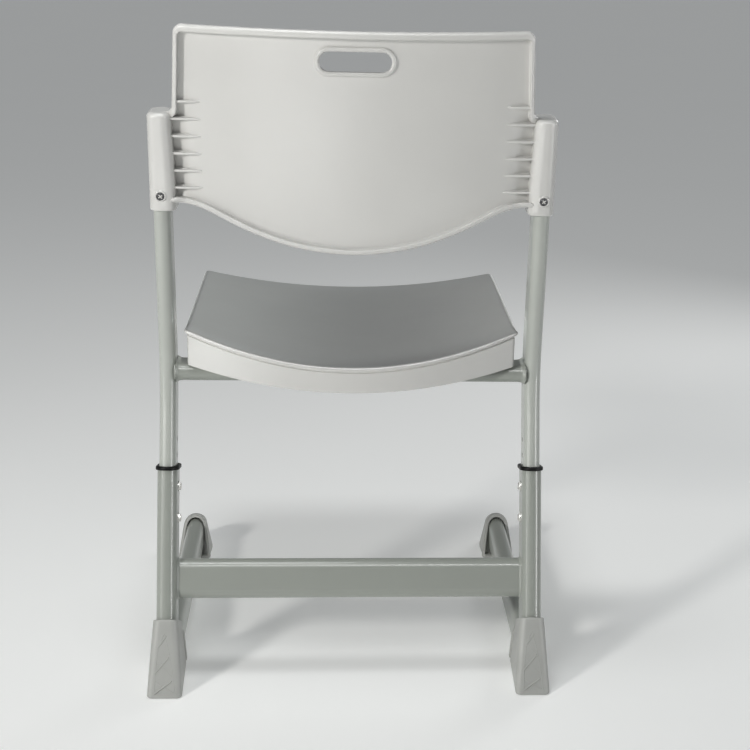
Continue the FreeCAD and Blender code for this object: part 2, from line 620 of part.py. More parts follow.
def back_outline(side_in, top_in, bottom_in, x_low):
    """Panel outline as a prism along Y. The lower flanks run into the sleeves."""
    y = -60.0
    zt = BACK_TOP - top_in
    xt, xs = 209.6 - side_in, 214.4 - side_in
    r = 11.0 - min(side_in, 5.0)
    z_sh = SLEEVE_Z1 + 3.0

    def top_z(x):
        return zt - 3.0 * (1 - (x / xt) ** 2)

    def corner(sd):
        k = r * (1 - math.sqrt(0.5))
        ends = [V(sd * xt, y, zt - r), V(sd * (xt - r), y, top_z(xt - r))][::sd]
        return Part.Arc(ends[0], V(sd * (xt - k), y, zt - k), ends[1]).toShape()
    pts = [(-x, z + bottom_in) for x, z in reversed(BOTTOM)] + [(x, z + bottom_in) for x, z in BOTTOM[1:]]
    pts = [(max(-x_low, min(x_low, x)), z) for x, z in pts]
    bot = Part.BSplineCurve()
    bot.interpolate([V(x, y, z) for x, z in pts])
    top = Part.BSplineCurve()
    top.interpolate([V(x, y, top_z(x)) for x in [(xt - r) * (1 - i / 4.0) for i in range(9)]])
    e = [bot.toShape(),
         Part.makeLine(V(x_low, y, pts[-1][1]), V(x_low, y, z_sh - 6)),
         Part.makeLine(V(x_low, y, z_sh - 6), V(xs, y, z_sh)),
         Part.makeLine(V(xs, y, z_sh), V(xt, y, zt - r)),
         corner(1),
         top.toShape(),
         corner(-1),
         Part.makeLine(V(-xt, y, zt - r), V(-xs, y, z_sh)),
         Part.makeLine(V(-xs, y, z_sh), V(-x_low, y, z_sh - 6)),
         Part.makeLine(V(-x_low, y, z_sh - 6), V(-x_low, y, pts[0][1]))]
    return Part.Face(Part.Wire(e)).extrude(V(0, 320, 0))


def sleeve_outer(sd):
    """Closed-top sleeve: level ends, leaning with the upper tube."""
    x = sd * HALF
    a = up_at(x, SLEEVE_Z0)
    b = up_at(x, SLEEVE_Z1)
    s = bar(a, SLEEVE_W, SLEEVE_D, V(0, 1, 0), b - a)
    for z, r in ((SLEEVE_Z1, 4.5), (SLEEVE_Z0, 2.5)):
        rim = [e for e in s.Edges if abs(e.BoundBox.ZMin - z) < 0.05 and abs(e.BoundBox.ZMax - z) < 0.05]
        try:
            f = s.makeFillet(r, rim)
            s = f if f.isValid() else s
        except Exception:
            pass
    return s


def back_rib(sd, z):
    """Gusset from the sleeve, or from the rim above it, down to the panel."""
    x_in, x_out = RIB_INNER, 219.5
    y_out = up_at(0, z).y - SLEEVE_D / 2.0 / cu + 5.0
    if z > SLEEVE_Z1:
        x_out = 212.0
        y_out = back_y(210.0, z) - 9.5
    z0 = z - RIB_T / 2.0
    p = [V(sd * x_in, back_y(x_in, z) + 1.0, z0), V(sd * x_in, back_y(x_in, z), z0),
         V(sd * x_out, y_out, z0), V(sd * x_out, back_y(x_out, z) + 2.0, z0)]
    return Part.Face(Part.makePolygon(p + [p[0]])).extrude(V(0, 0, RIB_T))


def hand_prism(hx, hz):
    """Flat-oval prism along Y at the hand hole; hx and hz are half sizes."""
    y = -40.0
    h = hx - hz
    a, b = V(h, y, HAND_Z - hz), V(h, y, HAND_Z + hz)
    c, d = V(-h, y, HAND_Z + hz), V(-h, y, HAND_Z - hz)
    w = Part.Wire([Part.Arc(a, V(hx, y, HAND_Z), b).toShape(), Part.makeLine(b, c),
                   Part.Arc(c, V(-hx, y, HAND_Z), d).toShape(), Part.makeLine(d, a)])
    return Part.Face(w).extrude(V(0, 240, 0))


def back_rim():
    """Rim round the panel, above the sleeves and along the lower edge only."""
    outer = back_outline(0.0, 0.0, 0.0, PANEL_X)
    inner = back_outline(RIM_SIDE, RIM_UP, RIM_FOOT, PANEL_X - 0.6)
    ring = outer.cut(inner).common(slab(-RIM, BACK_T))
    for sd in (-1, 1):
        x0, x1 = sorted((sd * 206.0, sd * 240.0))
        ring = ring.cut(box(x0, x1, -80, 300, 616.0, SLEEVE_Z1 - 4))
    return ring


def screw_seat(sd):
    """Rear end of the screw boss, on the screw's axis."""
    return up_at(sd * HALF, SCREW_Z) - N_UP * (SLEEVE_D / 2.0 + BOSS_OUT)


def cut_sleeve(body, sd):
    """Bore for the upper tube, recess for the screw's head and its pilot hole."""
    a = up_at(sd * HALF, SLEEVE_Z0 - 6)
    length = (up_at(sd * HALF, Z_INNER_TOP + 2) - a).Length
    body = body.cut(bar(a, IN_W + 0.6, IN_D + 0.6, N_UP, U_UP * length))
    seat = screw_seat(sd)
    body = body.cut(cyl(seat - N_UP, N_UP, HEAD_BORE_R, 1.0 + HEAD_DEEP))
    return body.cut(cyl(seat, N_UP, 2.3, 12.0))


def backrest():
    body = back_outline(0.0, 0.0, 0.0, PANEL_X).common(slab(0.0, BACK_T))
    body = body.fuse(back_rim())
    for sd in (-1, 1):
        body = body.fuse(sleeve_outer(sd))
    for sd in (-1, 1):
        for i in range(RIB_N):
            body = body.fuse(back_rib(sd, RIB_Z0 + RIB_PITCH * i))
    body = body.fuse(hand_prism(RING_HX, RING_HZ).common(slab(-RING_REAR, BACK_T + RING_FRONT)))
    body = body.cut(hand_prism(HAND_HX, HAND_HZ))
    for sd in (-1, 1):
        body = body.fuse(cyl(screw_seat(sd), N_UP, BOSS_R, 12.0))
    for sd in (-1, 1):
        body = cut_sleeve(body, sd)
    return max(body.removeSplitter().Solids, key=lambda q: q.Volume)


def back_screw(sd):
    seat = screw_seat(sd) + N_UP * HEAD_DEEP
    s = cyl(seat - N_UP * 2.2, N_UP, 4.7, 2.2)
    head = seat - N_UP * 2.2
    s = try_fillet(s, 1.2, lambda e: (e.BoundBox.Center - head).Length < 0.2 and e.Length > 20)
    s = s.fuse(cyl(seat, N_UP, 1.9, 12.0))
    m = seat - N_UP * 2.6
    for d in (V(1, 0, 0), U_UP):
        e = N_UP.cross(d)
        q = [m + d * 2.9 + e * 0.45, m - d * 2.9 + e * 0.45, m - d * 2.9 - e * 0.45, m + d * 2.9 - e * 0.45]
        s = s.cut(Part.Face(Part.makePolygon(q + [q[0]])).extrude(N_UP * 1.8))
    return s


# ----------------------------------------------------------------------- write
SIDES = (("left", -1), ("right", 1))
for name, sd in SIDES:
    x = sd * HALF
    save(name + "_foot_tube", foot_tube(x))
    save(name + "_outer_tube", outer_tube(x, sd))
    save(name + "_collar", collar(x))
    save(name + "_upper_lock_bolt", lock_bolt(x, sd, BOLT_S[0]))
    save(name + "_lower_lock_bolt", lock_bolt(x, sd, BOLT_S[1]))
    save(name + "_rear_boot", rear_boot(x))
    save(name + "_rear_pad", rear_pad(x))
    save(name + "_front_boot", front_boot(x))
    save(name + "_front_pad", front_pad(x))
    save(name + "_inner_tube", inner_tube(x, sd))
    save(name + "_glide_plug", glide_plug(x))
    save(name + "_seat_arm", seat_arm(sd))
    save(name + "_backrest_screw", back_screw(sd))
    save(name + "_rear_seat_screw", seat_screw(sd, SCREW_Y[0]))
    save(name + "_front_seat_screw", seat_screw(sd, SCREW_Y[1]))
save("stretcher_tube", stretcher())
save("seat_rear_rail", rear_rail())
save("seat_front_rail", front_rail())
save("seat_shell", seat_shell())
save("backrest_shell", backrest())
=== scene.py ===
"""Looks of the student desk chair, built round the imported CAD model."""
import json
import math

import bmesh
import bpy
from mathutils import Matrix, Vector, kdtree
from mathutils.geometry import delaunay_2d_cdt


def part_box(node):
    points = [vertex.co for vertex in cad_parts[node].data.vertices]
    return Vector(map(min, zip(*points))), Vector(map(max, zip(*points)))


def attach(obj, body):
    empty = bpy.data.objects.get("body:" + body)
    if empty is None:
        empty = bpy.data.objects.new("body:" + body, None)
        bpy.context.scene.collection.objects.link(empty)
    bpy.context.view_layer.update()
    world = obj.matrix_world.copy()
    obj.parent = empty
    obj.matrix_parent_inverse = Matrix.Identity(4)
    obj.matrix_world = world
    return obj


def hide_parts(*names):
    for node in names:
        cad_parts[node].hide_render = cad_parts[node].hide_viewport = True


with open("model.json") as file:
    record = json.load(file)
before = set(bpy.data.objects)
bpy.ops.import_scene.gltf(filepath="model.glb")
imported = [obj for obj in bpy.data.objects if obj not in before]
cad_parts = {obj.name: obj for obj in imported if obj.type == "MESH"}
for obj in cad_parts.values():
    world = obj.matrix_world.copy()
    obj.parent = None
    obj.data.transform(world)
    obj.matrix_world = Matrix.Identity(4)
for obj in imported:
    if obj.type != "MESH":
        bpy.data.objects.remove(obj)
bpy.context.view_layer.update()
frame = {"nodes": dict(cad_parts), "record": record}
NODES = frame["nodes"]

MM = 0.001
SIDES = (("left", -1.0), ("right", 1.0))


def mm_box(node):
    """Lowest and highest corner of a CAD node, in millimetres."""
    low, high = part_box(node)
    return low / MM, high / MM


def smooth_step(value, start, end):
    t = min(max((value - start) / (end - start), 0.0), 1.0)
    return t * t * (3.0 - 2.0 * t)


def mix(a, b, t):
    return a + (b - a) * t


# ---- materials
NOISE_LOW, NOISE_HIGH = 0.3, 0.7      # nearly all of the noise lies between these
CLOUD_RATIO = 2.7                     # the roughness varies over smaller spots than the tone


def new_material(name):
    material = bpy.data.materials.new(name)
    material.use_nodes = True
    tree = material.node_tree
    shader = tree.nodes["Principled BSDF"]
    return material, tree, shader


def add_node(tree, kind, **values):
    node = tree.nodes.new(kind)
    for key, value in values.items():
        setattr(node, key, value)
    return node


def noise(tree, coords, scale, detail, roughness=0.5):
    node = add_node(tree, "ShaderNodeTexNoise")
    node.inputs["Scale"].default_value = scale
    node.inputs["Detail"].default_value = detail
    node.inputs["Roughness"].default_value = roughness
    tree.links.new(coords, node.inputs["Vector"])
    return node.outputs["Fac"]


def remap(tree, value, low, high):
    node = add_node(tree, "ShaderNodeMapRange")
    node.inputs["From Min"].default_value = NOISE_LOW
    node.inputs["From Max"].default_value = NOISE_HIGH
    node.inputs["To Min"].default_value = low
    node.inputs["To Max"].default_value = high
    tree.links.new(value, node.inputs["Value"])
    return node.outputs["Result"]


def two_tone(tree, value, dark, light):
    node = add_node(tree, "ShaderNodeValToRGB")
    ramp = node.color_ramp
    ramp.elements[0].position, ramp.elements[1].position = NOISE_LOW, NOISE_HIGH
    ramp.elements[0].color = (*dark, 1.0)
    ramp.elements[1].color = (*light, 1.0)
    tree.links.new(value, node.inputs["Fac"])
    return node.outputs["Color"]


def bump(tree, height, strength, distance, below=None):
    node = add_node(tree, "ShaderNodeBump")
    node.inputs["Strength"].default_value = strength
    node.inputs["Distance"].default_value = distance
    tree.links.new(height, node.inputs["Height"])
    if below is not None:
        tree.links.new(below, node.inputs["Normal"])
    return node.outputs["Normal"]


def tinted(color, factor):
    return tuple(min(1.0, c * factor) for c in color)


def textured(name, color, spread, tone_scale, grain_scale, grain_depth, rough, rough_spread,
             wave_scale=None, wave_depth=0.0, metallic=0.0, coat=0.0, coat_rough=0.03, specular=0.5):
    """Base colour, roughness and relief all come from noise in the object's own coordinates."""
    material, tree, shader = new_material(name)
    coords = add_node(tree, "ShaderNodeTexCoord").outputs["Object"]
    tone = noise(tree, coords, tone_scale, 4.0)
    shade = two_tone(tree, tone, tinted(color, 1.0 - spread), tinted(color, 1.0 + spread))
    tree.links.new(shade, shader.inputs["Base Color"])
    cloud = noise(tree, coords, tone_scale * CLOUD_RATIO, 5.0, 0.6)
    spotted = remap(tree, cloud, rough - rough_spread, rough + rough_spread)
    tree.links.new(spotted, shader.inputs["Roughness"])
    normal = None
    if wave_scale:
        normal = bump(tree, noise(tree, coords, wave_scale, 1.0), 1.0, wave_depth)
    normal = bump(tree, noise(tree, coords, grain_scale, 2.0), 1.0, grain_depth, normal)
    tree.links.new(normal, shader.inputs["Normal"])
    shader.inputs["Metallic"].default_value = metallic
    shader.inputs["Specular IOR Level"].default_value = specular
    shader.inputs["Coat Weight"].default_value = coat
    shader.inputs["Coat Roughness"].default_value = coat_rough
    return material


def glow(material, color, strength):
    shader = material.node_tree.nodes["Principled BSDF"]
    shader.inputs["Emission Color"].default_value = color
    shader.inputs["Emission Strength"].default_value = strength


SHELL = textured("shell_plastic", (0.60, 0.595, 0.575), spread=0.02, tone_scale=9.0,
                 grain_scale=2600.0, grain_depth=0.00004, rough=0.33, rough_spread=0.04,
                 wave_scale=120.0, wave_depth=0.00006, coat=0.15, coat_rough=0.16)
PAINT = dict(spread=0.012, tone_scale=14.0, grain_scale=1500.0, grain_depth=0.00002, rough=0.3,
             rough_spread=0.02, wave_scale=380.0, wave_depth=0.00002, coat=0.25)
FRAME_PAINT = textured("frame_paint", (0.325, 0.343, 0.312), **PAINT)
# The inner tubes get a lighter copy of the frame paint: painted light, standing in for the brighter light
# that falls on the upper tubes.
INNER_PAINT_PAINTED_LIGHT = textured("frame_paint_inner_painted_light", (0.47, 0.49, 0.455), **PAINT)
BOOT = textured("boot_plastic", (0.40, 0.405, 0.385), spread=0.035, tone_scale=30.0,
                grain_scale=2400.0, grain_depth=0.00006, rough=0.46, rough_spread=0.05,
                wave_scale=150.0, wave_depth=0.00008)
BLACK = textured("black_plastic", (0.005, 0.005, 0.005), spread=0.3, tone_scale=60.0,
                 grain_scale=2000.0, grain_depth=0.00004, rough=0.42, rough_spread=0.06, specular=0.12)
ZINC = textured("zinc", (0.78, 0.77, 0.74), spread=0.08, tone_scale=300.0,
                grain_scale=1800.0, grain_depth=0.00003, rough=0.24, rough_spread=0.06, metallic=0.7)
DARK_STEEL = textured("dark_steel", (0.09, 0.09, 0.095), spread=0.2, tone_scale=250.0,
                      grain_scale=1800.0, grain_depth=0.00004, rough=0.34, rough_spread=0.08, metallic=0.5)
RUBBER = textured("rubber_pad", (0.035, 0.035, 0.035), spread=0.2, tone_scale=80.0,
                  grain_scale=900.0, grain_depth=0.0001, rough=0.78, rough_spread=0.06)
FLOOR = textured("floor", (0.86, 0.86, 0.85), spread=0.012, tone_scale=1.3,
                 grain_scale=30.0, grain_depth=0.00002, rough=0.6, rough_spread=0.03, specular=0.3)
glow(FLOOR, (0.95, 0.97, 0.96, 1.0), 0.2)

NODE_MATERIALS = {"frame_paint": FRAME_PAINT, "shell_plastic": SHELL, "boot_plastic": BOOT,
                  "black_plastic": BLACK, "zinc": ZINC, "dark_steel": DARK_STEEL, "rubber_pad": RUBBER}


# ---- mesh pieces
SHARP_ANGLE = 38.0            # faces that meet at more degrees than this keep a hard edge


class Shape:
    """Vertices in millimetres and faces of one piece."""

    def __init__(self):
        self.verts = []
        self.faces = []

    def row(self, points):
        first = len(self.verts)
        self.verts.extend(Vector(p) for p in points)
        return list(range(first, len(self.verts)))

    def bridge(self, a, b):
        for i in range(len(a)):
            j = (i + 1) % len(a)
            self.faces.append((a[i], a[j], b[j], b[i]))

    def bridge_all(self, rows):
        for a, b in zip(rows, rows[1:]):
            self.bridge(a, b)

    def skin(self, rows, cap_start=True):
        """Rings joined in order, with a face over the last one and, as a rule, over the first."""
        made = [self.row(points) for points in rows]
        self.bridge_all(made)
        if cap_start:
            self.faces.append(tuple(made[0]))
        self.faces.append(tuple(made[-1]))

    def hoop(self, rows):
        """Rings joined in order, the last one back to the first."""
        made = [self.row(points) for points in rows]
        self.bridge_all(made + made[:1])

    def build(self, name, material, body, replaced=()):
        mesh = bpy.data.meshes.new(name)
        mesh.from_pydata([v * MM for v in self.verts], [], self.faces)
        work = bmesh.new()
        work.from_mesh(mesh)
        bmesh.ops.recalc_face_normals(work, faces=work.faces)
        work.to_mesh(mesh)
        work.free()
        mesh.shade_smooth()
        mesh.set_sharp_from_angle(angle=math.radians(SHARP_ANGLE))
        mesh.materials.append(material)
        piece = bpy.data.objects.new(name, mesh)
        bpy.context.scene.collection.objects.link(piece)
        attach(piece, body)
        if replaced:
            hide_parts(*replaced)
        return piece


def arc(centre, radius, start, end, count):
    """Points on a circle in the plane, angles in degrees, both ends included."""
    made = []
    for i in range(count + 1):
        angle = math.radians(mix(start, end, i / count))
        made.append(Vector((centre[0] + radius * math.cos(angle), centre[1] + radius * math.sin(angle))))
    return made


def line(a, b, count):
    """Points from a to b, b left out."""
    return [Vector(a).lerp(Vector(b), i / count) for i in range(count)]


def turns(count):
    """Even angles all the way round."""
    return [2.0 * math.pi * i / count for i in range(count)]


def oval(width, depth, per_end, per_side):
    """Flat-oval outline about the origin, long way along the second axis."""
    radius = min(width, depth) / 2.0
    half = max(width, depth) / 2.0 - radius
    made = arc((0.0, half), radius, 0.0, 180.0, per_end)[:-1]
    made += line((-radius, half), (-radius, -half), per_side)
    made += arc((0.0, -half), radius, 180.0, 360.0, per_end)[:-1]
    made += line((radius, -half), (radius, half), per_side)
    if width > depth:
        made = [Vector((p.y, -p.x)) for p in made]
    return made


def curve_through(points, x):
    """Height at x of a smooth curve through (x, height) points that rise in x."""
    last = len(points) - 1
    i = 0
    while i < last - 1 and x > points[i + 1][0]:
        i += 1

    def slope(k):
        a, b = points[max(k - 1, 0)], points[min(k + 1, last)]
        return (b[1] - a[1]) / (b[0] - a[0])
    (x0, y0), (x1, y1) = points[i], points[i + 1]
    span = x1 - x0
    t = (x - x0) / span
    m0 = 0.0 if i == 0 else slope(i)
    m1 = 0.0 if i + 1 == last else slope(i + 1)
    return ((2 * t ** 3 - 3 * t ** 2 + 1) * y0 + (t ** 3 - 2 * t ** 2 + t) * span * m0
            + (3 * t ** 2 - 2 * t ** 3) * y1 + (t ** 3 - t ** 2) * span * m1)


def inside(point, loop):
    hit = False
    for a, b in zip(loop, loop[1:] + loop[:1]):
        if (a.y > point.y) != (b.y > point.y):
            if point.x < (b.x - a.x) * (point.y - a.y) / (b.y - a.y) + a.x:
                hit = not hit
    return hit


BACK_GRID, SEAT_GRID = 7.5, 8.0
GRID_CLEAR = 0.6              # inner points stay this share of the spacing away from the edge
WELD_GAP = 1e-5


def in_region(point, loops):
    return inside(point, loops[0]) and not any(inside(point, hole) for hole in loops[1:])


def grid_points(loops, spacing):
    """Staggered grid of points in the region, none of them close to its edge."""
    edge = [p for loop in loops for p in loop]
    tree = kdtree.KDTree(len(edge))
    for i, p in enumerate(edge):
        tree.insert((p.x, p.y, 0.0), i)
    tree.balance()
    low = Vector((min(p.x for p in loops[0]), min(p.y for p in loops[0])))
    high = Vector((max(p.x for p in loops[0]), max(p.y for p in loops[0])))
    across = int((high.x - low.x) / spacing) // 2 + 1
    up = int((high.y - low.y) / spacing) + 1
    made = []
    for i in range(-across, across + 1):
        for j in range(up):
            p = Vector(((i + 0.5 * (j % 2)) * spacing, low.y + (j + 0.5) * spacing))
            if in_region(p, loops) and tree.find((p.x, p.y, 0.0))[2] > GRID_CLEAR * spacing:
                made.append(p)
    return made


def triangulate(loops, spacing):
    """Inner grid points and triangles of the region inside loops[0] and outside the others."""
    edges, start = [], 0
    for loop in loops:
        edges += [(start + i, start + (i + 1) % len(loop)) for i in range(len(loop))]
        start += len(loop)
    inner = grid_points(loops, spacing)
    points = [p for loop in loops for p in loop] + inner
    result = delaunay_2d_cdt(points, edges, [], 2, WELD_GAP)
    faces, sources = result[2], result[3]
    triangles = []
    for face in faces:
        ids = tuple(sources[v][0] for v in face)
        centre = sum((points[v] for v in ids), Vector((0.0, 0.0))) / len(ids)
        if in_region(centre, loops):
            triangles.append(ids)
    return inner, triangles


# ---- uprights
OUTER_LOW, OUTER_HIGH = mm_box("right_outer_tube")
SIDE_X = (OUTER_LOW.x + OUTER_HIGH.x) / 2.0
OUTER_W = OUTER_HIGH.x - OUTER_LOW.x
OUTER_D = 50.0
FLOOR_SHIFT = 257.0           # the side frame's drawing starts this far behind the centre
LEAN_LOW, LEAN_UP = math.radians(17.5), math.radians(6.0)
LOW_FOOT_Y = 33.0             # where the lower tube's centre line meets the floor
UP_Y, UP_Z = 133.5, 540.0     # a point of the upper tube's centre line
ALONG_LOW = Vector((0.0, math.sin(LEAN_LOW), math.cos(LEAN_LOW)))
ACROSS_LOW = Vector((0.0, math.cos(LEAN_LOW), -math.sin(LEAN_LOW)))


def low_axis(x, s):
    """Point of the lower tube's centre line, s along it from the floor."""
    return Vector((x, LOW_FOOT_Y - FLOOR_SHIFT, 0.0)) + ALONG_LOW * s


def up_axis_y(z):
    """Where the upper tube's centre line is at height z."""
    return UP_Y - FLOOR_SHIFT - (z - UP_Z) * math.tan(LEAN_UP)


# ---- backrest
BACK_TOP = mm_box("backrest_shell")[1].z + 0.3
BACK_T = 4.0
BACK_HALF = 213.0
BACK_BOW = 30.0
BACK_SLOPE = 0.14
BACK_Y, BACK_Z = 113.0, 650.0  # a point of the panel's rear skin, at the sides
TOP_HALF, TOP_CROWN = 209.6, 3.0
RIM_H = 11.0
RIM_H_NOTCH, RIM_H_INSIDE = 5.0, 4.0    # lower where the sleeve hides the rim
RIM_SWELL = 7.5               # the bottom rim grows by this on its way to the sleeve
RIM_SPLIT_Z = 660.0           # the rim's upper half is above this
TOP_RIM, BOTTOM_RIM = 10.4, 8.1
TOP_CORNER = 11.0
FOOT_R = 1.6
SLEEVE_W, SLEEVE_D = 27.0, 52.0
SLEEVE_TOP, SLEEVE_BOTTOM = 709.0, 591.0
BOTTOM = [(0.0, 543.0), (35.0, 545.2), (63.0, 549.5), (82.0, 554.0), (102.0, 560.3), (125.0, 569.0),
          (147.0, 578.9), (165.0, 587.9), (180.0, 594.6), (192.0, 598.3), (204.0, 600.4), (217.0, 601.0),
          (222.0, 601.0)]
HOLE_Z = 774.3
HOLE_HX, HOLE_HZ = 42.0, 11.4
RIB_Z0, RIB_PITCH, RIB_COUNT = 618.8, 20.75, 6
TROUGH = 6.0
TROUGH_X = (186.0, 214.0)      # the trough deepens between these
TROUGH_FOOT, TROUGH_HEAD = (609.0, 619.0), (704.0, 724.0)


def back_y(x, z):
    return BACK_Y - FLOOR_SHIFT - BACK_SLOPE * (z - BACK_Z) - BACK_BOW * (1.0 - (x / BACK_HALF) ** 2)


def trough(p):
    """How much deeper the panel lies in the ribbed strip beside each sleeve."""
    across = smooth_step(abs(p.x), *TROUGH_X)
    return TROUGH * across * smooth_step(p.y, *TROUGH_FOOT) * (1.0 - smooth_step(p.y, *TROUGH_HEAD))


def on_back(p, rise):
    """Point of the panel at (x, z), rise behind its rear skin."""
    return Vector((p.x, back_y(p.x, p.y) - rise, p.y))


def top_edge(x, drop):
    return BACK_TOP - drop - TOP_CROWN * (1.0 - (x / TOP_HALF) ** 2)


def bottom_normal(x):
    slope = curve_through(BOTTOM, x + 0.5) - curve_through(BOTTOM, max(x - 0.5, 0.0))
    return Vector((-slope, 1.0)).normalized()


def back_half_outlines():
    """Matched points of the outer and the inner outline, from top centre to bottom centre."""
    outer, inner = [], []

    def stretch(a, b):
        outer.extend(a)
        inner.extend(b)
    steps, end_o, end_i = 40, 198.6, 198.8
    stretch([Vector((end_o * i / steps, top_edge(end_o * i / steps, 0.0))) for i in range(steps)],
            [Vector((end_i * i / steps, top_edge(end_i * i / steps, TOP_RIM))) for i in range(steps)])
    zc = BACK_TOP - TOP_CORNER
    stretch(arc((end_o, zc), TOP_CORNER, 90.0, 2.0, 11), arc((end_i, zc - 3.4), 4.0, 90.0, 2.0, 11))
    # the side, then the notch over the sleeve
    stretch(line((209.7, zc - 1.5), (213.9, 718.0), 22), line((203.0, zc - 5.0), (207.0, 713.0), 22))
    stretch(arc((221.9, 718.0), 8.0, 180.0, 262.0, 10)[:-1],
            arc((219.5, 713.0), 12.5, 180.0, 250.0, 10)[:-1])
    stretch(arc((223.0, 705.0), 5.0, 78.0, 0.0, 6), arc((215.5, 699.5), 2.0, 70.0, 0.0, 6))
    # down inside the sleeve, and round its foot
    stretch(line((228.0, 703.0), (228.0, 611.0), 24), line((217.5, 697.0), (217.5, 613.0), 24))
    stretch(arc((220.0, 609.0), 8.0, 0.0, -84.0, 8), arc((213.5, 612.5), 4.0, 0.0, -84.0, 8))
    steps = 54
    for i in range(steps):
        x = 219.0 * (1.0 - i / steps)
        xi = 212.0 * (1.0 - i / steps)
        outer.append(Vector((x, curve_through(BOTTOM, x))))
        inner.append(Vector((xi, curve_through(BOTTOM, xi))) + bottom_normal(xi) * BOTTOM_RIM)
    return outer, inner


def whole(half, end):
    """Closed outline from its right half, which starts on the centre line, and its end."""
    return half + [end] + [Vector((-p.x, p.y)) for p in reversed(half[1:])]


def rim_height(p):
    """How far the rim stands behind the panel at an outline point: least inside the sleeve."""
    x = abs(p.x)
    if p.y > RIM_SPLIT_Z:
        return mix(RIM_H, RIM_H_NOTCH, smooth_step(x, 215.0, 222.0))
    rise = RIM_H + RIM_SWELL * smooth_step(x, 203.0, 221.0)
    return mix(rise, RIM_H_INSIDE, smooth_step(x, 221.5, 226.0))


def rim_profile(width, height):
    """Cross-section from the front skin round the rim to the rear skin: (inset, rise)."""
    crest_out = min(4.6, 0.52 * width, 0.45 * height)
    crest_in = min(1.7, 0.3 * width, 0.4 * height)
    edge = 1.6
    made = [(2.6, -BACK_T)]
    made += [(edge - edge * math.sin(t), -BACK_T + edge - edge * math.cos(t))
             for t in (math.radians(a) for a in (10, 30, 50, 70, 90))]
    made.append((0.0, 0.0))
    made.append((0.0, 0.5 * (height - crest_out)))
    made += [(crest_out * (1 - math.cos(t)), height - crest_out * (1 - math.sin(t)))
             for t in (math.radians(a) for a in (0, 15, 30, 45, 60, 75, 90))]
    made += [(width - crest_in * (1 - math.sin(t)), height - crest_in * (1 - math.cos(t)))
             for t in (math.radians(a) for a in (0, 22, 45, 68, 90))]
    made.append((width + 0.05, mix(FOOT_R, height - crest_in, 0.4)))
    made += [(width + 0.1 + (FOOT_R - 0.1) * (1 - math.cos(t)), FOOT_R * (1 - math.sin(t)))
             for t in (math.radians(a) for a in (0, 22, 45, 68))]
    return made


# lip of the hand hole, from the rear skin through the hole to the front: (growth of the hole, rise)
HOLE_PROFILE = [(7.2, 0.0), (6.3, 0.12), (5.75, 0.5), (5.5, 1.1), (5.3, 1.9), (4.8, 2.6), (4.1, 3.05),
                (3.2, 3.25), (2.2, 3.2), (1.3, 2.9), (0.6, 2.3), (0.15, 1.5), (0.0, 0.6), (0.0, -2.0),
                (0.0, -4.2), (0.4, -4.9), (1.2, -5.2), (3.6, -5.2), (4.7, -5.0), (5.3, -4.5), (6.0, -4.1),
                (7.2, -4.0)]


def hole_loop(grow):
    half = HOLE_HX - HOLE_HZ
    radius = HOLE_HZ + grow
    made = line((-half, -radius), (half, -radius), 16)
    made += arc((half, 0.0), radius, -90.0, 90.0, 18)[:-1]
    made += line((half, radius), (-half, radius), 16)
    made += arc((-half, 0.0), radius, 90.0, 270.0, 18)[:-1]
    return [Vector((p.x, p.y + HOLE_Z)) for p in made]


def backrest_panel(shape):
    outer, inner = back_half_outlines()
    outer = whole(outer, Vector((0.0, BOTTOM[0][1])))
    inner = whole(inner, Vector((0.0, BOTTOM[0][1] + BOTTOM_RIM)))
    profiles = []
    for o, i in zip(outer, inner):
        reach = (i - o).length
        profiles.append([(t / reach, d) for t, d in rim_profile(reach - FOOT_R, rim_height(o))])
    rows = [shape.row([on_back(i, -BACK_T - trough(i)) for i in inner])]
    for k in range(len(profiles[0])):
        rows.append(shape.row([on_back(o.lerp(i, p[k][0]), p[k][1])
                               for o, i, p in zip(outer, inner, profiles)]))
    rows.append(shape.row([on_back(i, -trough(i)) for i in inner]))
    shape.bridge_all(rows)
    hole_rows = [shape.row([on_back(p, rise) for p in hole_loop(grow)]) for grow, rise in HOLE_PROFILE]
    shape.bridge_all(hole_rows)
    grid, triangles = triangulate([inner, hole_loop(HOLE_PROFILE[0][0])], BACK_GRID)
    for rise, loops in ((0.0, rows[-1] + hole_rows[0]), (-BACK_T, rows[0] + hole_rows[-1])):
        ids = loops + shape.row([on_back(p, rise - trough(p)) for p in grid])
        shape.faces += [tuple(ids[v] for v in t) for t in triangles]


SLEEVE_ROUND = 12.2
SLEEVE_TILT = 0.05            # the closed top slopes down to the rear
SLEEVE_FLARE = 3.6            # the foot is this much wider than the top, on the inner side
SLEEVE_WALL = 2.75
SHOULDER_R, SLEEVE_FOOT_R = 5.6, 2.2


def rounded_box(half_x, half_y, radius, per_side=5):
    """Plan outline of a box with round corners."""
    made = []
    spots = ((1, 1, 0.0), (-1, 1, 90.0), (-1, -1, 180.0), (1, -1, 270.0))
    corners = [arc((sx * (half_x - radius), sy * (half_y - radius)), radius, a, a + 90.0, 7)
               for sx, sy, a in spots]
    for k, corner in enumerate(corners):
        made += corner[:-1] + line(corner[-1], corners[(k + 1) % 4][0], per_side)
    return made


def quarter(count, radius):
    """Two distances that pass from (0, radius) to (radius, 0) round a quarter circle."""
    angles = [math.radians(90.0 * i / count) for i in range(count + 1)]
    return [(radius * (1.0 - math.cos(a)), radius * (1.0 - math.sin(a))) for a in angles]


def sleeve_ring(side, z, inset, tilt=0.0):
    flare = SLEEVE_FLARE * smooth_step(SLEEVE_TOP - z, -20.0, SLEEVE_TOP - SLEEVE_BOTTOM)
    half_x, half_y = SLEEVE_W / 2.0 + 0.4 + flare / 2.0 - inset, SLEEVE_D / 2.0 - inset
    x = side * (SIDE_X - flare / 2.0)
    outline = rounded_box(half_x, half_y, min(max(SLEEVE_ROUND - inset, 1.2), half_x - 0.3))
    return [(x + p.x, up_axis_y(z) + p.y, z + tilt * p.y) for p in outline]


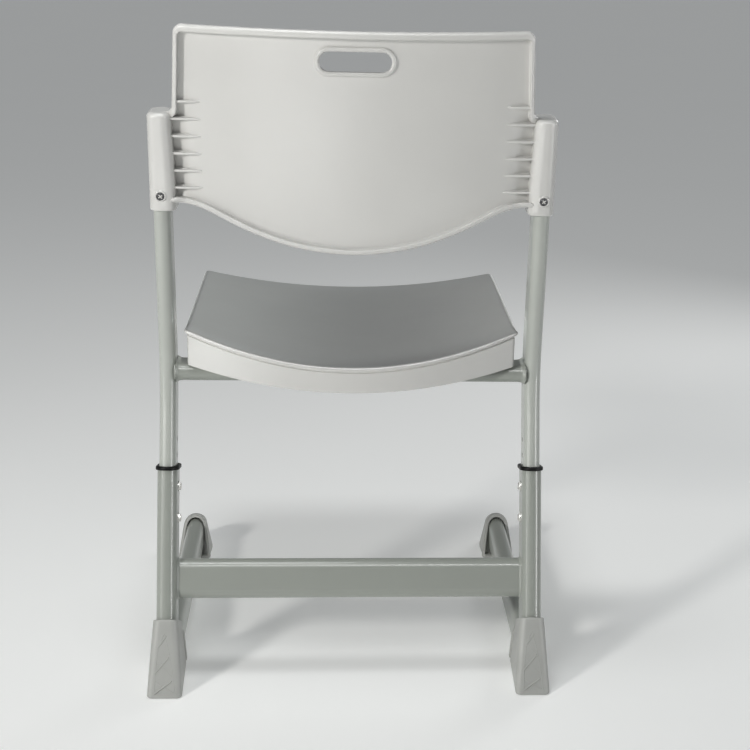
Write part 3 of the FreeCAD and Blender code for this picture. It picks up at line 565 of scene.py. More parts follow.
def sleeve(shape, side):
    """Closed-top sleeve that slips over the upper tube, from inside its open foot to its top."""
    spots = [(8.0, SLEEVE_WALL), (0.8, SLEEVE_WALL), (0.2, SLEEVE_WALL - 0.2)]
    spots += quarter(5, SLEEVE_FOOT_R)
    rows = [sleeve_ring(side, SLEEVE_BOTTOM + rise, inset) for rise, inset in spots]
    low, high, steps = SLEEVE_BOTTOM + 6.0, SLEEVE_TOP - SHOULDER_R - 2.0, 8
    for i in range(steps + 1):
        tilt = SLEEVE_TILT * smooth_step(i / steps, 0.3, 1.0)
        rows.append(sleeve_ring(side, mix(low, high, i / steps), 0.0, tilt))
    for inset, drop in quarter(8, SHOULDER_R):
        rows.append(sleeve_ring(side, SLEEVE_TOP + 1.0 - drop, inset, SLEEVE_TILT))
    rows += [sleeve_ring(side, SLEEVE_TOP + 1.05, inset, SLEEVE_TILT) for inset in (7.0, 9.0, 11.0)]
    shape.skin(rows, cap_start=False)


RIB_INNER_X = 181.0
RIB_SLEEVE_X, RIB_RIM_X = 218.5, 208.0  # where the ribs end, in the sleeve or the rim
RIB_TIP_H = 0.7
RIB_TIP_HALF, RIB_HALF = 0.5, 1.35
RIB_FOOT = 1.1


def rib_section(half, height, deep):
    """Cross-section (across, rise) of a rib with a square crest and small fillets at its foot."""
    crown = min(0.4, 0.5 * height)
    side = [(half + RIB_FOOT, -0.12), (half + 0.55, min(0.12, 0.2 * height)),
            (half + 0.2, min(0.45, 0.4 * height)), (half, max(height - crown, 0.5 * height)),
            (0.72 * half, height - 0.2 * crown)]
    made = [(-w, h) for w, h in side] + [(0.0, height)] + side[::-1]
    return made + [(half + RIB_FOOT, -0.5 - deep), (-half - RIB_FOOT, -0.5 - deep)]


def rib(shape, side, z):
    """Thin gusset from the sleeve, or the rim, down to nothing on the panel."""
    outer_x = RIB_SLEEVE_X
    rear = up_axis_y(z) - SLEEVE_D / 2.0 + 9.2
    if z > SLEEVE_TOP:
        outer_x = RIB_RIM_X
        rear = back_y(outer_x, z) - RIM_H + 2.2
    top = back_y(outer_x, z) - rear
    rows, steps = [], 18
    for i in range(steps + 1):
        t = i / steps
        x = mix(RIB_INNER_X, outer_x, t)
        height = RIB_TIP_H + (top - RIB_TIP_H) * t ** 0.85
        half = mix(RIB_TIP_HALF, RIB_HALF, smooth_step(t, 0.0, 0.2))
        section = rib_section(half, height, trough(Vector((x, z))))
        rows.append([on_back(Vector((side * x, z + dz)), rise) for dz, rise in section])
    shape.skin(rows)


SCREW_Z = 612.3
BOSS_R = 6.6
UP_OUT = Vector((0.0, -math.cos(LEAN_UP), -math.sin(LEAN_UP)))
UP_ALONG = Vector((0.0, -math.sin(LEAN_UP), math.cos(LEAN_UP)))
# ring round the backrest screw, from its root over the crest to the recess: (radius, out)
BOSS_PROFILE = [(BOSS_R + 1.0, -3.0), (BOSS_R + 0.9, -0.1), (BOSS_R + 0.35, 0.5), (BOSS_R, 1.0),
                (BOSS_R - 0.35, 1.25), (BOSS_R - 1.1, 1.35), (BOSS_R - 1.5, 1.15), (BOSS_R - 1.65, 0.6),
                (BOSS_R - 1.7, -0.35), (4.6, -0.45), (3.0, -0.45)]


def on_boss(side, across, along, out):
    """Point on the sleeve's rear face, measured from the screw."""
    centre = Vector((side * SIDE_X, up_axis_y(SCREW_Z), SCREW_Z)) + UP_OUT * (SLEEVE_D / 2.0)
    return centre + UP_OUT * out + Vector((across, 0.0, 0.0)) + UP_ALONG * along


def boss(shape, side):
    """Raised ring round the screw at the foot of the sleeve, with a recessed floor."""
    rows = [[on_boss(side, radius * math.cos(a), radius * math.sin(a), out) for a in turns(48)]
            for radius, out in BOSS_PROFILE]
    shape.skin(rows, cap_start=False)


CROSS, CROSS_TURN = (2.8, 0.7), 38.0    # an arm's length and half width; degrees
CROSS_DEEP, CROSS_OUT = 1.2, 1.84


def make_screw_cross(name, side):
    """Bare metal in the cross recess of the backrest screw."""
    shape = Shape()
    arm, half = CROSS
    outline = [(half, half), (half, arm), (-half, arm), (-half, half), (-arm, half), (-arm, -half),
               (-half, -half), (-half, -arm), (half, -arm), (half, -half), (arm, -half), (arm, half)]
    turn = Matrix.Rotation(math.radians(CROSS_TURN), 2)
    spots = [turn @ Vector(p) for p in outline]
    shape.skin([[on_boss(side, p.x, p.y, out) for p in spots] for out in (CROSS_DEEP, CROSS_OUT)])
    shape.build(name + "_screw_cross", ZINC, "upper")


# end of the bottom rim on the sleeve: x, z, rise of the crest behind the panel, half width
TAIL_PATH = [(196.0, 603.0, 8.0, 2.6), (202.0, 603.7, 10.4, 2.9), (208.0, 604.3, 11.6, 3.0),
             (213.0, 604.9, 12.8, 2.9), (217.0, 605.7, 14.8, 2.7), (220.0, 606.6, 16.9, 2.4),
             (223.0, 607.7, 18.6, 2.0), (225.5, 608.8, 18.9, 1.4)]
TAIL_ROUND, TAIL_ROOT = 2.6, 9.0


def rim_tail(shape, side):
    """The bottom rim runs on over the sleeve's rear face and dies at the screw's ring."""
    rows, last = [], len(TAIL_PATH) - 1
    for k, (x, z, rise, half) in enumerate(TAIL_PATH):
        before, after = TAIL_PATH[max(k - 1, 0)], TAIL_PATH[min(k + 1, last)]
        run = (Vector(after[:2]) - Vector(before[:2])).normalized()
        side_step = Vector((-run.y, run.x)) * half
        spots = []
        for a in range(0, 181, 15):
            turn = math.radians(a)
            spots.append((math.cos(turn), rise - TAIL_ROUND * (1.0 - math.sin(turn))))
        spots += [(-1.0, rise - TAIL_ROOT), (1.0, rise - TAIL_ROOT)]
        row = []
        for across, height in spots:
            p = Vector((x, z)) + side_step * across
            row.append(on_back(Vector((side * p.x, p.y)), height))
        rows.append(row)
    shape.skin(rows)


def make_backrest():
    shape = Shape()
    backrest_panel(shape)
    for _, side in SIDES:
        sleeve(shape, side)
        boss(shape, side)
        rim_tail(shape, side)
        for i in range(RIB_COUNT):
            rib(shape, side, RIB_Z0 + RIB_PITCH * i)
    return shape.build("backrest", SHELL, "upper", ["backrest_shell"])


# ---- seat
SEAT_HALF = mm_box("seat_shell")[1].x
SEAT_Y0, SEAT_Y1 = 118.0 - FLOOR_SHIFT, 478.0 - FLOOR_SHIFT
SEAT_BULGE_R, SEAT_BULGE_F = 44.0, 22.0
SEAT_Z = 439.0                # height of the rear corners
SEAT_RISE = 3.0               # the front corners are this much higher
DISH, DISH_EASE = 36.0, 7.5   # the middle lies this far below the sides, less at the front
BOWL = 5.0
HEEL_REACH, HEEL_LIFT = 42.0, 5.0
FRONT_REACH, FRONT_DROP = 55.0, 4.0
SEAT_T = 4.0
LIP = 3.5
CORNER_R = 9.0
SEAT_INNER = 16.0
APRON_Z, APRON_LIFT = 372.0, 23.0


def seat_z(x, y):
    """Height of the sitting surface."""
    t = (y - SEAT_Y0) / (SEAT_Y1 - SEAT_Y0)
    tc = min(max(t, -0.15), 1.08)
    w = 1.0 - (x / SEAT_HALF) ** 2
    bowl = max(w, 0.0)
    z = SEAT_Z + SEAT_RISE * tc - (DISH - DISH_EASE * tc) * w
    z -= BOWL * math.sin(math.pi * min(max(tc, 0.0), 1.0)) * bowl
    heel = max(0.0, 1.0 - (y - SEAT_Y0 + SEAT_BULGE_R * bowl) / HEEL_REACH)
    front = max(0.0, 1.0 - (SEAT_Y1 + SEAT_BULGE_F * bowl - y) / FRONT_REACH)
    return z + HEEL_LIFT * heel * heel - FRONT_DROP * front * front


def apron_z(x):
    """Lower edge of the wall under the lip."""
    return APRON_Z + APRON_LIFT * (x / (SEAT_HALF - LIP)) ** 2


def rounded_corner(before, corner, after, radius, count):
    """Curve that replaces a corner between two straight runs."""
    a = (before - corner).normalized()
    b = (after - corner).normalized()
    cut = radius / math.tan(a.angle(b) / 2.0)
    p0, p2 = corner + a * cut, corner + b * cut
    made = []
    for i in range(count + 1):
        t = i / count
        w = math.cos((math.pi - a.angle(b)) / 2.0)
        weights = ((1 - t) ** 2, 2 * w * t * (1 - t), t ** 2)
        total = sum(weights)
        made.append((p0 * weights[0] + corner * weights[1] + p2 * weights[2]) / total)
    return made


def seat_outline(inset):
    """Closed plan outline, the same number of points for every inset."""
    a = SEAT_HALF - inset
    y0, y1 = SEAT_Y0 + inset, SEAT_Y1 - inset
    radius = max(CORNER_R - inset, 2.5)

    def rear(x):
        return Vector((x, y0 - SEAT_BULGE_R * (1 - (x / a) ** 2)))

    def front(x):
        return Vector((x, y1 + SEAT_BULGE_F * (1 - (x / a) ** 2)))
    rear_corner = rounded_corner(rear(a - 8.0), Vector((a, y0)), Vector((a, y1)), radius, 8)
    front_corner = rounded_corner(Vector((a, y0)), Vector((a, y1)), front(a - 8.0), radius, 8)
    steps = 44
    half = [rear(rear_corner[0].x * i / steps) for i in range(steps)] + rear_corner
    half += line(rear_corner[-1], front_corner[0], 60)[1:] + front_corner
    half += [front(front_corner[-1].x * (1 - i / steps)) for i in range(1, steps)]
    return whole(half, front(0.0))


# over the rolled lip to the groove under it: (inset, drop under the sitting surface)
LIP_PROFILE = [(11.0, 0.0), (7.5, 0.0), (5.4, 0.04), (4.0, 0.18), (2.8, 0.5), (1.8, 1.0), (1.0, 1.65),
               (0.4, 2.45), (0.1, 3.3), (0.0, 4.1), (0.12, 4.9), (0.5, 5.6), (1.1, 6.1), (1.9, 6.4),
               (2.8, 6.5), (3.9, 6.6), (4.7, 6.9), (4.9, 7.4), (4.6, 7.9), (3.9, 8.3), (LIP, 8.8)]
# down the wall: (share of its height, inset)
WALL_PROFILE = [(0.08, 3.52), (0.3, 3.6), (0.6, 3.7), (0.85, 3.8)]
# round the wall's lower edge: (inset, lift over the edge)
FOOT_PROFILE = [(3.85, 1.2), (3.95, 0.6), (4.25, 0.2), (4.8, 0.0), (6.0, 0.0), (6.6, 0.3), (6.8, 1.0)]
WALL_DROP = 7.3               # the wall starts this far under the sitting surface
WALL_INSIDE = 7.0
# inner corner of the wall and the underside: (inset, drop under the underside)
CORNER_PROFILE = [(7.1, 3.5), (7.4, 2.0), (8.2, 0.8), (9.6, 0.15), (11.5, 0.0)]


def seat_ring(shape, inset, height):
    """One ring of the seat; height gives z from x and y."""
    return shape.row([(p.x, p.y, height(p.x, p.y)) for p in seat_outline(inset)])


def make_seat():
    shape = Shape()
    rows = [seat_ring(shape, SEAT_INNER, seat_z)]
    for inset, drop in LIP_PROFILE:
        rows.append(seat_ring(shape, inset, lambda x, y: seat_z(x, y) - drop))
    for share, inset in WALL_PROFILE:
        rows.append(seat_ring(shape, inset, lambda x, y: mix(seat_z(x, y) - WALL_DROP, apron_z(x), share)))
    for inset, lift in FOOT_PROFILE:
        rows.append(seat_ring(shape, inset, lambda x, y: apron_z(x) + lift))
    for share in (0.35, 0.7):
        rows.append(seat_ring(shape, WALL_INSIDE,
                              lambda x, y: mix(apron_z(x) + 1.0, seat_z(x, y) - SEAT_T - 3.5, share)))
    for inset, drop in CORNER_PROFILE:
        rows.append(seat_ring(shape, inset, lambda x, y: seat_z(x, y) - SEAT_T - drop))
    rows.append(seat_ring(shape, SEAT_INNER, lambda x, y: seat_z(x, y) - SEAT_T))
    shape.bridge_all(rows)
    grid, triangles = triangulate([seat_outline(SEAT_INNER)], SEAT_GRID)
    for drop, loop in ((0.0, rows[0]), (SEAT_T, rows[-1])):
        ids = loop + shape.row([(p.x, p.y, seat_z(p.x, p.y) - drop) for p in grid])
        shape.faces += [tuple(ids[v] for v in t) for t in triangles]
    under_ribs(shape)
    return shape.build("seat", SHELL, "upper", ["seat_shell"])


UNDER_X, UNDER_Y = (-120.0, -60.0, 0.0, 60.0, 120.0), (200.0, 275.0, 350.0)
UNDER_DEEP, UNDER_LOWEST = 7.0, 398.0
UNDER_REACH = 132.0
SCREW_BOSS_Z = 414.0


def under_rib(shape, points):
    """Rib along points (x, y, half width along x, half width along y)."""
    rows = []
    for x, y, dx, dy in points:
        top = seat_z(x, y) - SEAT_T + 0.6
        low = max(seat_z(x, y) - SEAT_T - UNDER_DEEP, UNDER_LOWEST)
        low = min(low, top - 0.8)
        section = ((-1.0, top), (-0.8, low + 0.3), (0.0, low), (0.8, low + 0.3), (1.0, top))
        rows.append([(x + w * dx, y + w * dy, z) for w, z in section])
    shape.skin(rows)


def under_ribs(shape):
    """Stiffening ribs and screw bosses under the seat."""
    for x in UNDER_X:
        y0 = SEAT_Y0 - SEAT_BULGE_R * (1 - (x / SEAT_HALF) ** 2) + 8.0
        y1 = SEAT_Y1 + SEAT_BULGE_F * (1 - (x / SEAT_HALF) ** 2) - 8.0
        under_rib(shape, [(x, mix(y0, y1, i / 40.0), 1.0, 0.0) for i in range(41)])
    for y in UNDER_Y:
        under_rib(shape, [(mix(-UNDER_REACH, UNDER_REACH, i / 30.0), y - FLOOR_SHIFT, 0.0, 1.0)
                          for i in range(31)])
    for label, _ in SIDES:
        for place in ("rear", "front"):
            low, high = mm_box(label + "_" + place + "_seat_screw")
            cx, cy = (low.x + high.x) / 2.0, (low.y + high.y) / 2.0
            profile = ((3.0, SCREW_BOSS_Z), (8.1, SCREW_BOSS_Z), (8.5, SCREW_BOSS_Z + 0.5),
                       (8.5, SCREW_BOSS_Z + 4.0), (9.2, seat_z(cx, cy) - SEAT_T + 1.0))
            shape.skin([[(cx + radius * math.cos(a), cy + radius * math.sin(a), z) for a in turns(32)]
                        for radius, z in profile])


# ---- rear boots
BOOT_Z0 = 0.8
HEEL_Y0, HEEL_Y1 = -4.0 - FLOOR_SHIFT, 98.0 - FLOOR_SHIFT
HEEL_HALF, HEEL_HALF_FRONT = 22.0, 18.5
BOOT_S = 85.5                # the rim round the upright, along the lower tube
RIM_HALF_X, RIM_HALF_Y = 15.7, 28.2
RIM_DROP = 0.16              # the rim falls this much towards the front


def boot_outline(t, inset):
    """Plan of the heel block's ring t, from the floor to the rim, narrower at the front."""
    rear = mix(HEEL_HALF, RIM_HALF_X, t) - inset
    front = mix(HEEL_HALF_FRONT, RIM_HALF_X, t) - inset
    deep = mix((HEEL_Y1 - HEEL_Y0) / 2.0, RIM_HALF_Y, t) - inset
    outline = rounded_box(rear, deep, max(mix(7.0, 9.5, t) - 0.6 * inset, 0.8), 8)
    return [Vector((p.x * mix(rear, front, (p.y + deep) / (2.0 * deep)) / rear, p.y)) for p in outline]


def boot_point(x, t, p):
    """Plan point p of the ring t in space: level at the floor, square to the upright at the rim."""
    low = Vector((x + p.x, (HEEL_Y0 + HEEL_Y1) / 2.0 + p.y, BOOT_Z0))
    high = low_axis(x, BOOT_S - RIM_DROP * (p.y + RIM_HALF_Y)) + Vector((p.x, 0.0, 0.0)) + ACROSS_LOW * p.y
    return low.lerp(high, t)


TOE_R = 2.5


def arch_outline(half, top, radius, grow):
    """Arch seen along the foot tube: flat foot, sides drawing in, round top. Same count for all."""
    half, top, radius = half + grow, top + grow, radius + grow
    floor = BOOT_Z0 - min(grow, 0.0)
    made = line((0.0, floor), (half - TOE_R, floor), 5)
    made += arc((half - TOE_R, floor + TOE_R), TOE_R, -90.0, 0.0, 4)
    lean = math.degrees(math.atan2(half - radius, top - radius - floor - TOE_R))
    shoulder = arc((0.0, top - radius), radius, lean, 90.0, 12)
    made += line(made.pop(), shoulder[0], 8)
    made += shoulder
    return made + [Vector((-p.x, p.y)) for p in reversed(made[1:-1])]


# moulded lines of the rear face: points (across, height), half width, relief
LATTICE = ((((-12.0, 6.0), (-11.4, 30.0), (-8.2, 58.0), (-2.2, 73.0)), 0.6, 0.8),
           (((13.0, 6.0), (10.0, 28.0), (6.4, 48.0), (-0.6, 74.0)), 0.6, 0.8),
           (((-12.0, 6.5), (8.6, 20.5)), 1.0, 1.3),
           (((-11.6, 30.0), (5.0, 47.5)), 1.0, 1.3),
           (((-8.2, 59.0), (1.2, 71.5)), 0.9, 1.2),
           (((-11.8, 20.0), (12.6, 6.8)), 0.5, 0.6),
           (((-10.2, 45.0), (10.4, 24.0)), 0.5, 0.6),
           (((-8.6, 61.0), (6.6, 46.0)), 0.5, 0.6))


def line_section(half, height):
    """Cross-section (across, out) of a raised line with a round crest."""
    return [(-half - 0.35, -0.2), (-half, 0.45 * height), (-0.55 * half, 0.9 * height), (0.0, height),
            (0.55 * half, 0.9 * height), (half, 0.45 * height), (half + 0.35, -0.2)]


def lattice(shape, x):
    """Raised lines moulded on the boot's rear face."""
    foot = boot_point(x, 0.0, Vector((0.0, HEEL_Y0 - (HEEL_Y0 + HEEL_Y1) / 2.0)))
    head = low_axis(x, BOOT_S) - ACROSS_LOW * RIM_HALF_Y
    up = (head - foot).normalized()
    out = Vector((0.0, -up.z, up.y))
    rise_per_z = 1.0 / up.z
    for points, half, height in LATTICE:
        spots = [Vector(p) for p in points]
        for a, b in zip(spots, spots[1:]):
            run = (b - a).normalized()
            across = Vector((-run.y, run.x))
            rows = []
            for end, scale in ((a - run * 0.5, 0.3), (a, 1.0), (b, 1.0), (b + run * 0.5, 0.3)):
                row = []
                for w, h in line_section(half, height):
                    p = end + across * w
                    along = up * (p.y - BOOT_Z0) * rise_per_z
                    row.append(foot + Vector((p.x, 0.0, 0.0)) + along + out * h * scale)
                rows.append(row)
            shape.skin(rows)


# (inset, ring) up the heel block, (inset, lift) over its rim and down into the upright's socket
HEEL_FOOT = [(1.6, 0.0), (0.7, 0.003), (0.2, 0.009), (0.0, 0.02)]
HEEL_RINGS = (0.15, 0.3, 0.45, 0.6, 0.75, 0.9, 0.985)
HEEL_RIM = [(0.12, 0.3), (0.5, 0.75), (1.1, 0.9), (1.8, 0.8), (2.3, 0.4), (2.5, -0.3), (2.6, -3.0),
            (2.7, -7.0), (2.7, -25.0), (2.7, -45.0), (2.7, -64.0)]
# rim of the mouth round the foot tube, from inside it back over the boot: (growth, along)
TOE_RIM = [(-3.2, -9.0), (-3.2, -1.0), (-2.9, -0.3), (-2.3, 0.0), (0.3, 0.0), (1.0, -0.3), (1.4, -1.0),
           (1.5, -2.0), (1.5, -6.6), (1.2, -7.6), (0.4, -8.2), (0.0, -8.8), (0.0, -40.0)]
TOE_ARCH = (17.5, 54.5, 15.8)  # half width, height, radius
TOE_SLANT = -10.0 / 55.0
TOE_Y = 106.0


def make_rear_boot(name, side):
    shape = Shape()
    x = side * SIDE_X
    rows = [[boot_point(x, t, p) for p in boot_outline(t, inset)] for inset, t in HEEL_FOOT]
    rows += [[boot_point(x, t, p) for p in boot_outline(t, 0.0)] for t in HEEL_RINGS]
    for inset, lift in HEEL_RIM:
        rows.append([boot_point(x, 1.0, p) + ALONG_LOW * lift for p in boot_outline(1.0, inset)])
    shape.skin(rows)
    shape.skin([[(x + p.x, TOE_Y - FLOOR_SHIFT + dy + TOE_SLANT * p.y, p.y)
                 for p in arch_outline(*TOE_ARCH, grow)] for grow, dy in TOE_RIM])
    lattice(shape, x)
    shape.build(name + "_moulding", BOOT, "base", [name])


# ---- front boots
FRONT_TIP = 518.0
# along, half width at the floor, height, radius of the top
FRONT_SECTIONS = [(425.0, 21.5, 58.0, 15.9), (474.0, 24.0, 58.0, 15.9), (488.0, 23.0, 54.0, 15.3),
                  (501.0, 20.5, 47.0, 14.0), (511.0, 17.0, 38.5, 12.0), (516.5, 13.0, 29.5, 9.5),
                  (FRONT_TIP, 7.5, 18.0, 5.5)]
# rim of the mouth round the foot tube: (growth, along)
MOUTH_Y, MOUTH_SLANT = 435.5, 34.0 / 60.0
MOUTH_RIM = [(-3.4, 12.0), (-3.4, 1.2), (-3.1, 0.4), (-2.5, 0.0), (-1.3, 0.0), (-0.7, 0.6), (-0.2, 0.7),
             (0.5, 0.2), (1.1, 0.5), (1.5, 1.2), (1.6, 2.0), (1.6, 4.6), (1.3, 5.4), (0.5, 5.9), (0.0, 6.6)]
# rings of the body: along at the floor, how far each leans forward with height
FRONT_RINGS = [(447.0, 0.55), (455.0, 0.47), (465.0, 0.37), (475.0, 0.27), (484.0, 0.18), (492.0, 0.12),
               (499.0, 0.08), (505.5, 0.05), (511.0, 0.02), (514.5, 0.0), (516.8, 0.0), (FRONT_TIP, 0.0)]
SETTLE = 4                    # rounds that bring a leaning ring onto the body's surface


def front_arch(y, grow):
    values = [curve_through([(row[0], row[k]) for row in FRONT_SECTIONS], min(y, FRONT_TIP))
              for k in (1, 2, 3)]
    return arch_outline(*values, grow)


def front_ring(x, y0, slant, grow):
    """One ring of the boot in a plane that slants forward with height."""
    made = []
    for i, p in enumerate(front_arch(y0, grow)):
        for _ in range(SETTLE):
            p = front_arch(y0 + slant * p.y, grow)[i]
        made.append((x + p.x, y0 + slant * p.y - FLOOR_SHIFT, p.y))
    return made


def make_front_boot(name, side):
    shape = Shape()
    x = side * SIDE_X
    rows = [front_ring(x, MOUTH_Y + dy, MOUTH_SLANT, grow) for grow, dy in MOUTH_RIM]
    rows += [front_ring(x, y0, lean, 0.0) for y0, lean in FRONT_RINGS]
    shape.skin(rows)
    shape.build(name + "_moulding", BOOT, "base", [name])


# ---- collars and welds
COLLAR_S = 273.2
COLLAR_SHEAR = 0.07
COLLAR_GROW = 4.6
# from the tube outwards, up and back in over the top: (inset, lift)
COLLAR_PROFILE = [(2.3, 0.0), (1.2, 0.0), (0.5, 0.15), (0.1, 0.6), (0.0, 1.2), (0.0, 3.4), (0.15, 4.1),
                  (0.6, 4.7), (1.3, 5.0), (2.1, 5.1), (2.8, 4.9), (3.2, 4.4), (3.5, 4.3), (3.9, 4.1),
                  (4.15, 3.6), (4.15, 2.6)]


def make_collar(name, side):
    """Black ring at the top of the outer tube, a little lower at the rear."""
    shape = Shape()
    x = side * SIDE_X
    rows = []
    for inset, lift in COLLAR_PROFILE:
        grow = COLLAR_GROW - 2 * inset
        row = []
        for p in oval(OUTER_W + grow, OUTER_D + grow, 22, 6):
            centre = low_axis(x, COLLAR_S + lift + COLLAR_SHEAR * p.y)
            row.append(centre + Vector((p.x, 0.0, 0.0)) + ACROSS_LOW * p.y)
        rows.append(row)
    shape.hoop(rows)
    shape.build(name + "_ring", BLACK, "base", [name])


def bead(shape, path, radius, ripple):
    """Weld bead along a closed path: a tube whose radius swells with each ripple."""
    count = len(path)
    rows = []
    centre = sum(path, Vector()) / count
    for i, p in enumerate(path):
        run = (path[(i + 1) % count] - path[i - 1]).normalized()
        out = (p - centre).normalized()
        out = (out - run * out.dot(run)).normalized()
        third = run.cross(out)
        size = radius * (1.0 + ripple * math.sin(i * 1.9))
        rows.append([p + (out * math.cos(a) + third * math.sin(a)) * size for a in turns(10)])
    shape.hoop(rows)


STRETCH_S = 134.6
STRETCH_W, STRETCH_D = 25.0, 50.0
RAIL_Y, RAIL_Z = 146.0 - FLOOR_SHIFT, 383.0
RAIL_W, RAIL_D = 46.0, 22.0
# weld round the rail's end: (distance short of the upright's centre line, growth over the rail)
RAIL_FLARE = [(20.0, 0.03), (17.0, 0.15), (15.0, 0.6), (13.5, 1.4), (12.5, 2.3), (11.7, 2.8),
              (10.9, 2.7), (10.3, 2.1), (9.9, 1.1), (9.7, -1.0), (9.6, -4.0)]


def make_welds():
    shape = Shape()
    for _, side in SIDES:
        centre = low_axis(side * (SIDE_X - OUTER_W / 2.0), STRETCH_S)
        path = [centre + ACROSS_LOW * p.x + ALONG_LOW * p.y for p in oval(STRETCH_W, STRETCH_D, 26, 22)]
        bead(shape, path, 1.7, 0.12)
    shape.build("stretcher_welds", FRAME_PAINT, "base")
    shape = Shape()
    for _, side in SIDES:
        rows = []
        for short, grow in RAIL_FLARE:
            outline = oval(RAIL_W + grow, RAIL_D + 2.0 * grow, 20, 12)
            rows.append([(side * (SIDE_X - short), RAIL_Y + p.x, RAIL_Z + p.y) for p in outline])
        shape.skin(rows)
    shape.build("rail_welds", FRAME_PAINT, "upper")


# ---- materials of CAD nodes
def dress_nodes():
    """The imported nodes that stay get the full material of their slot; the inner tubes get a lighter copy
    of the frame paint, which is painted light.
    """
    for entry in frame["record"]["subparts"]:
        node = NODES[entry["node"]]
        node.data.materials.clear()
        inner = entry["node"].endswith("inner_tube")
        # The inner tubes take the lighter copy of the frame paint: painted light on the upper tubes.
        node.data.materials.append(INNER_PAINT_PAINTED_LIGHT if inner else NODE_MATERIALS[entry["material_slot"]])


# ---- surroundings
def make_floor():
    mesh = bpy.data.meshes.new("floor")
    reach = 30.0
    corners = [(-reach, -reach, 0.0), (reach, -reach, 0.0), (reach, reach, 0.0), (-reach, reach, 0.0)]
    mesh.from_pydata(corners, [], [(0, 1, 2, 3)])
    mesh.materials.append(FLOOR)
    floor = bpy.data.objects.new("floor", mesh)
    bpy.context.scene.collection.objects.link(floor)
    return floor


def area_light(name, place, target, size, power, color):
    data = bpy.data.lights.new(name, "AREA")
    data.shape = "DISK"
    data.size = size
    data.energy = power
    data.color = color
    lamp = bpy.data.objects.new(name, data)
    lamp.location = place
    lamp.rotation_mode = "QUATERNION"
    lamp.rotation_quaternion = (Vector(target) - Vector(place)).to_track_quat("-Z", "Y")
    lamp.visible_camera = False
    bpy.context.scene.collection.objects.link(lamp)
    return lamp


def strip_light(name, place, target, across, up, power):
    """Long white lamp seen in reflections only: it draws the bright lines along rounded edges."""
    lamp = area_light(name, place, target, across, power, (1.0, 1.0, 1.0))
    lamp.data.shape = "RECTANGLE"
    lamp.data.size_y = up
    lamp.visible_diffuse = False
    return lamp


def link_light(lamp, state, pieces):
    """Keep a lamp's light off some pieces (EXCLUDE), or on them alone (INCLUDE)."""
    chosen = bpy.data.collections.new(lamp.name + "_pieces")
    for piece in pieces:
        chosen.objects.link(piece)
    for entry in chosen.collection_objects:
        entry.light_linking.link_state = state
    lamp.light_linking.receiver_collection = chosen


def make_lights(seat, backrest, floor):
    middle, seat_middle = (0.0, -0.15, 0.55), (0.0, -0.05, 0.42)
    side_tint = (0.95, 1.0, 0.985)
    # name, place, target, size, power, colour, light linking
    lamps = [
        ("key", (-2.0, -2.15, 1.45), middle, 0.42, 46.0, (1.0, 0.99, 0.965), "EXCLUDE", [seat]),
        ("overhead", (-0.2, -0.35, 1.95), (0.0, -0.15, 0.6), 0.5, 9.5, (0.98, 1.0, 1.0), "EXCLUDE", [seat]),
        ("front", (1.3, 1.5, 1.15), (0.0, 0.0, 0.42), 0.7, 7.0, (0.99, 1.0, 1.0), "EXCLUDE", [seat]),
        ("seat_key", (-1.7, -2.15, 0.72), (0.0, -0.1, 0.42), 0.9, 39.0, (1.0, 0.995, 0.975),
         "INCLUDE", [seat]),
        ("seat_right", (1.6, 0.35, 0.7), seat_middle, 0.4, 29.0, side_tint, "INCLUDE", [seat]),
        ("seat_left", (-1.7, 0.1, 0.58), seat_middle, 0.4, 17.0, side_tint, "INCLUDE", [seat]),
        ("bounce", (-0.35, -1.5, 0.1), (0.0, -0.15, 0.62), 0.7, 4.2, (1.0, 1.0, 0.99),
         "INCLUDE", [backrest]),
        ("side", (2.3, -0.05, 0.7), (0.0, -0.1, 0.5), 0.4, 9.0, (0.99, 1.0, 1.0), "EXCLUDE", [seat, floor]),
    ]
    for name, place, target, size, power, color, state, pieces in lamps:
        link_light(area_light(name, place, target, size, power, color), state, pieces)
    # name, place, target, width, height, power, light linking
    strips = [
        ("top_strip", (0.0, -1.9, 2.5), middle, 2.4, 0.35, 44.0, "EXCLUDE", floor),
        ("left_strip", (-2.1, -1.3, 0.8), middle, 0.3, 1.8, 12.0, "EXCLUDE", floor),
        ("right_strip", (2.1, -1.4, 0.75), (0.0, -0.15, 0.6), 0.35, 1.8, 30.0, "EXCLUDE", floor),
        ("lip_strip", (0.0, -1.2, 2.3), (0.0, -0.35, 0.4), 2.4, 0.3, 110.0, "INCLUDE", seat),
    ]
    for name, place, target, width, height, power, state, piece in strips:
        link_light(strip_light(name, place, target, width, height, power), state, [piece])
    bpy.context.scene.world = studio_world()


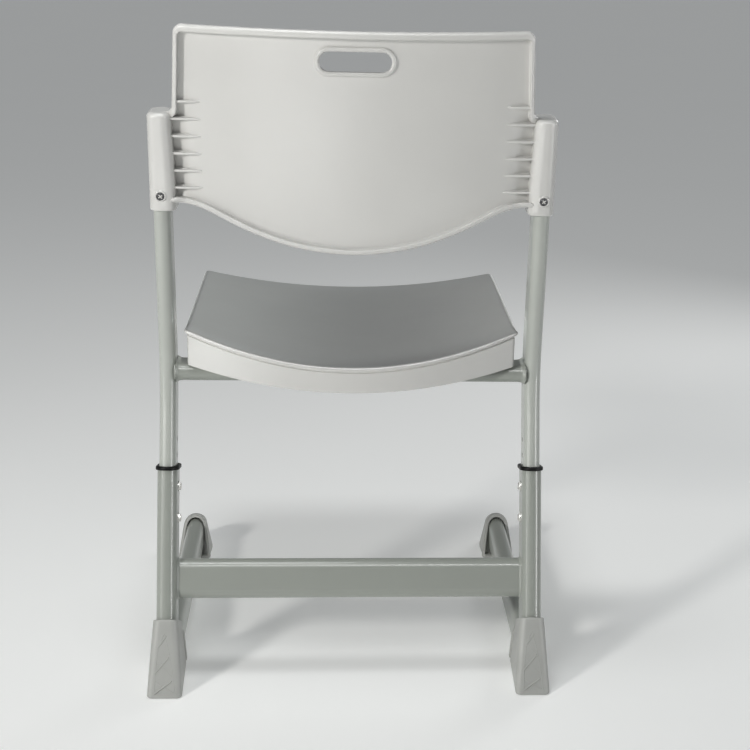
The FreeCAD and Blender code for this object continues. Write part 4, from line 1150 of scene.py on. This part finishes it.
def studio_world():
    """Dim even light from all round, paler at the horizon to meet the distant floor."""
    world = bpy.data.worlds.new("studio")
    world.use_nodes = True
    tree = world.node_tree
    coords = add_node(tree, "ShaderNodeTexCoord").outputs["Generated"]
    split = add_node(tree, "ShaderNodeSeparateXYZ")
    tree.links.new(coords, split.inputs["Vector"])
    ramp = add_node(tree, "ShaderNodeValToRGB")
    low, high = ramp.color_ramp.elements
    low.position, high.position = 0.03, 0.3
    low.color = (0.29, 0.293, 0.298, 1.0)
    high.color = (0.14, 0.146, 0.152, 1.0)
    tree.links.new(split.outputs["Z"], ramp.inputs["Fac"])
    tree.links.new(ramp.outputs["Color"], tree.nodes["Background"].inputs["Color"])
    return world


def make_camera():
    """The viewpoint: behind the chair, above its backrest, looking down at it."""
    yaw, pitch, roll = -0.0783, 0.2864, 0.0279
    turn = Matrix(((math.cos(yaw), math.sin(yaw), 0), (-math.sin(yaw), math.cos(yaw), 0), (0, 0, 1)))
    base = Matrix(((1, 0, 0), (0, 0, -1), (0, 1, 0)))
    nod = Matrix(((1, 0, 0), (0, math.cos(pitch), -math.sin(pitch)), (0, math.sin(pitch), math.cos(pitch))))
    tilt = Matrix(((math.cos(roll), -math.sin(roll), 0), (math.sin(roll), math.cos(roll), 0), (0, 0, 1)))
    right, down, forward = (Vector(r) for r in tilt @ nod @ base @ turn)
    data = bpy.data.cameras.new("camera")
    data.sensor_width = 36.0
    data.lens = 73.87
    data.shift_x, data.shift_y = -0.0949, 0.0067
    camera = bpy.data.objects.new("camera", data)
    pose = Matrix((right, -down, -forward)).transposed().to_4x4()
    pose.translation = Vector((-0.0269, -1.9948, 0.9265))
    camera.matrix_world = pose
    bpy.context.scene.collection.objects.link(camera)
    bpy.context.scene.camera = camera


make_camera()
dress_nodes()
backrest_piece = make_backrest()
seat_piece = make_seat()
for label, sign in SIDES:
    make_rear_boot(label + "_rear_boot", sign)
    make_front_boot(label + "_front_boot", sign)
    make_collar(label + "_collar", sign)
    make_screw_cross(label, sign)
make_welds()
make_lights(seat_piece, backrest_piece, make_floor())
bpy.context.scene.view_settings.view_transform = "Standard"
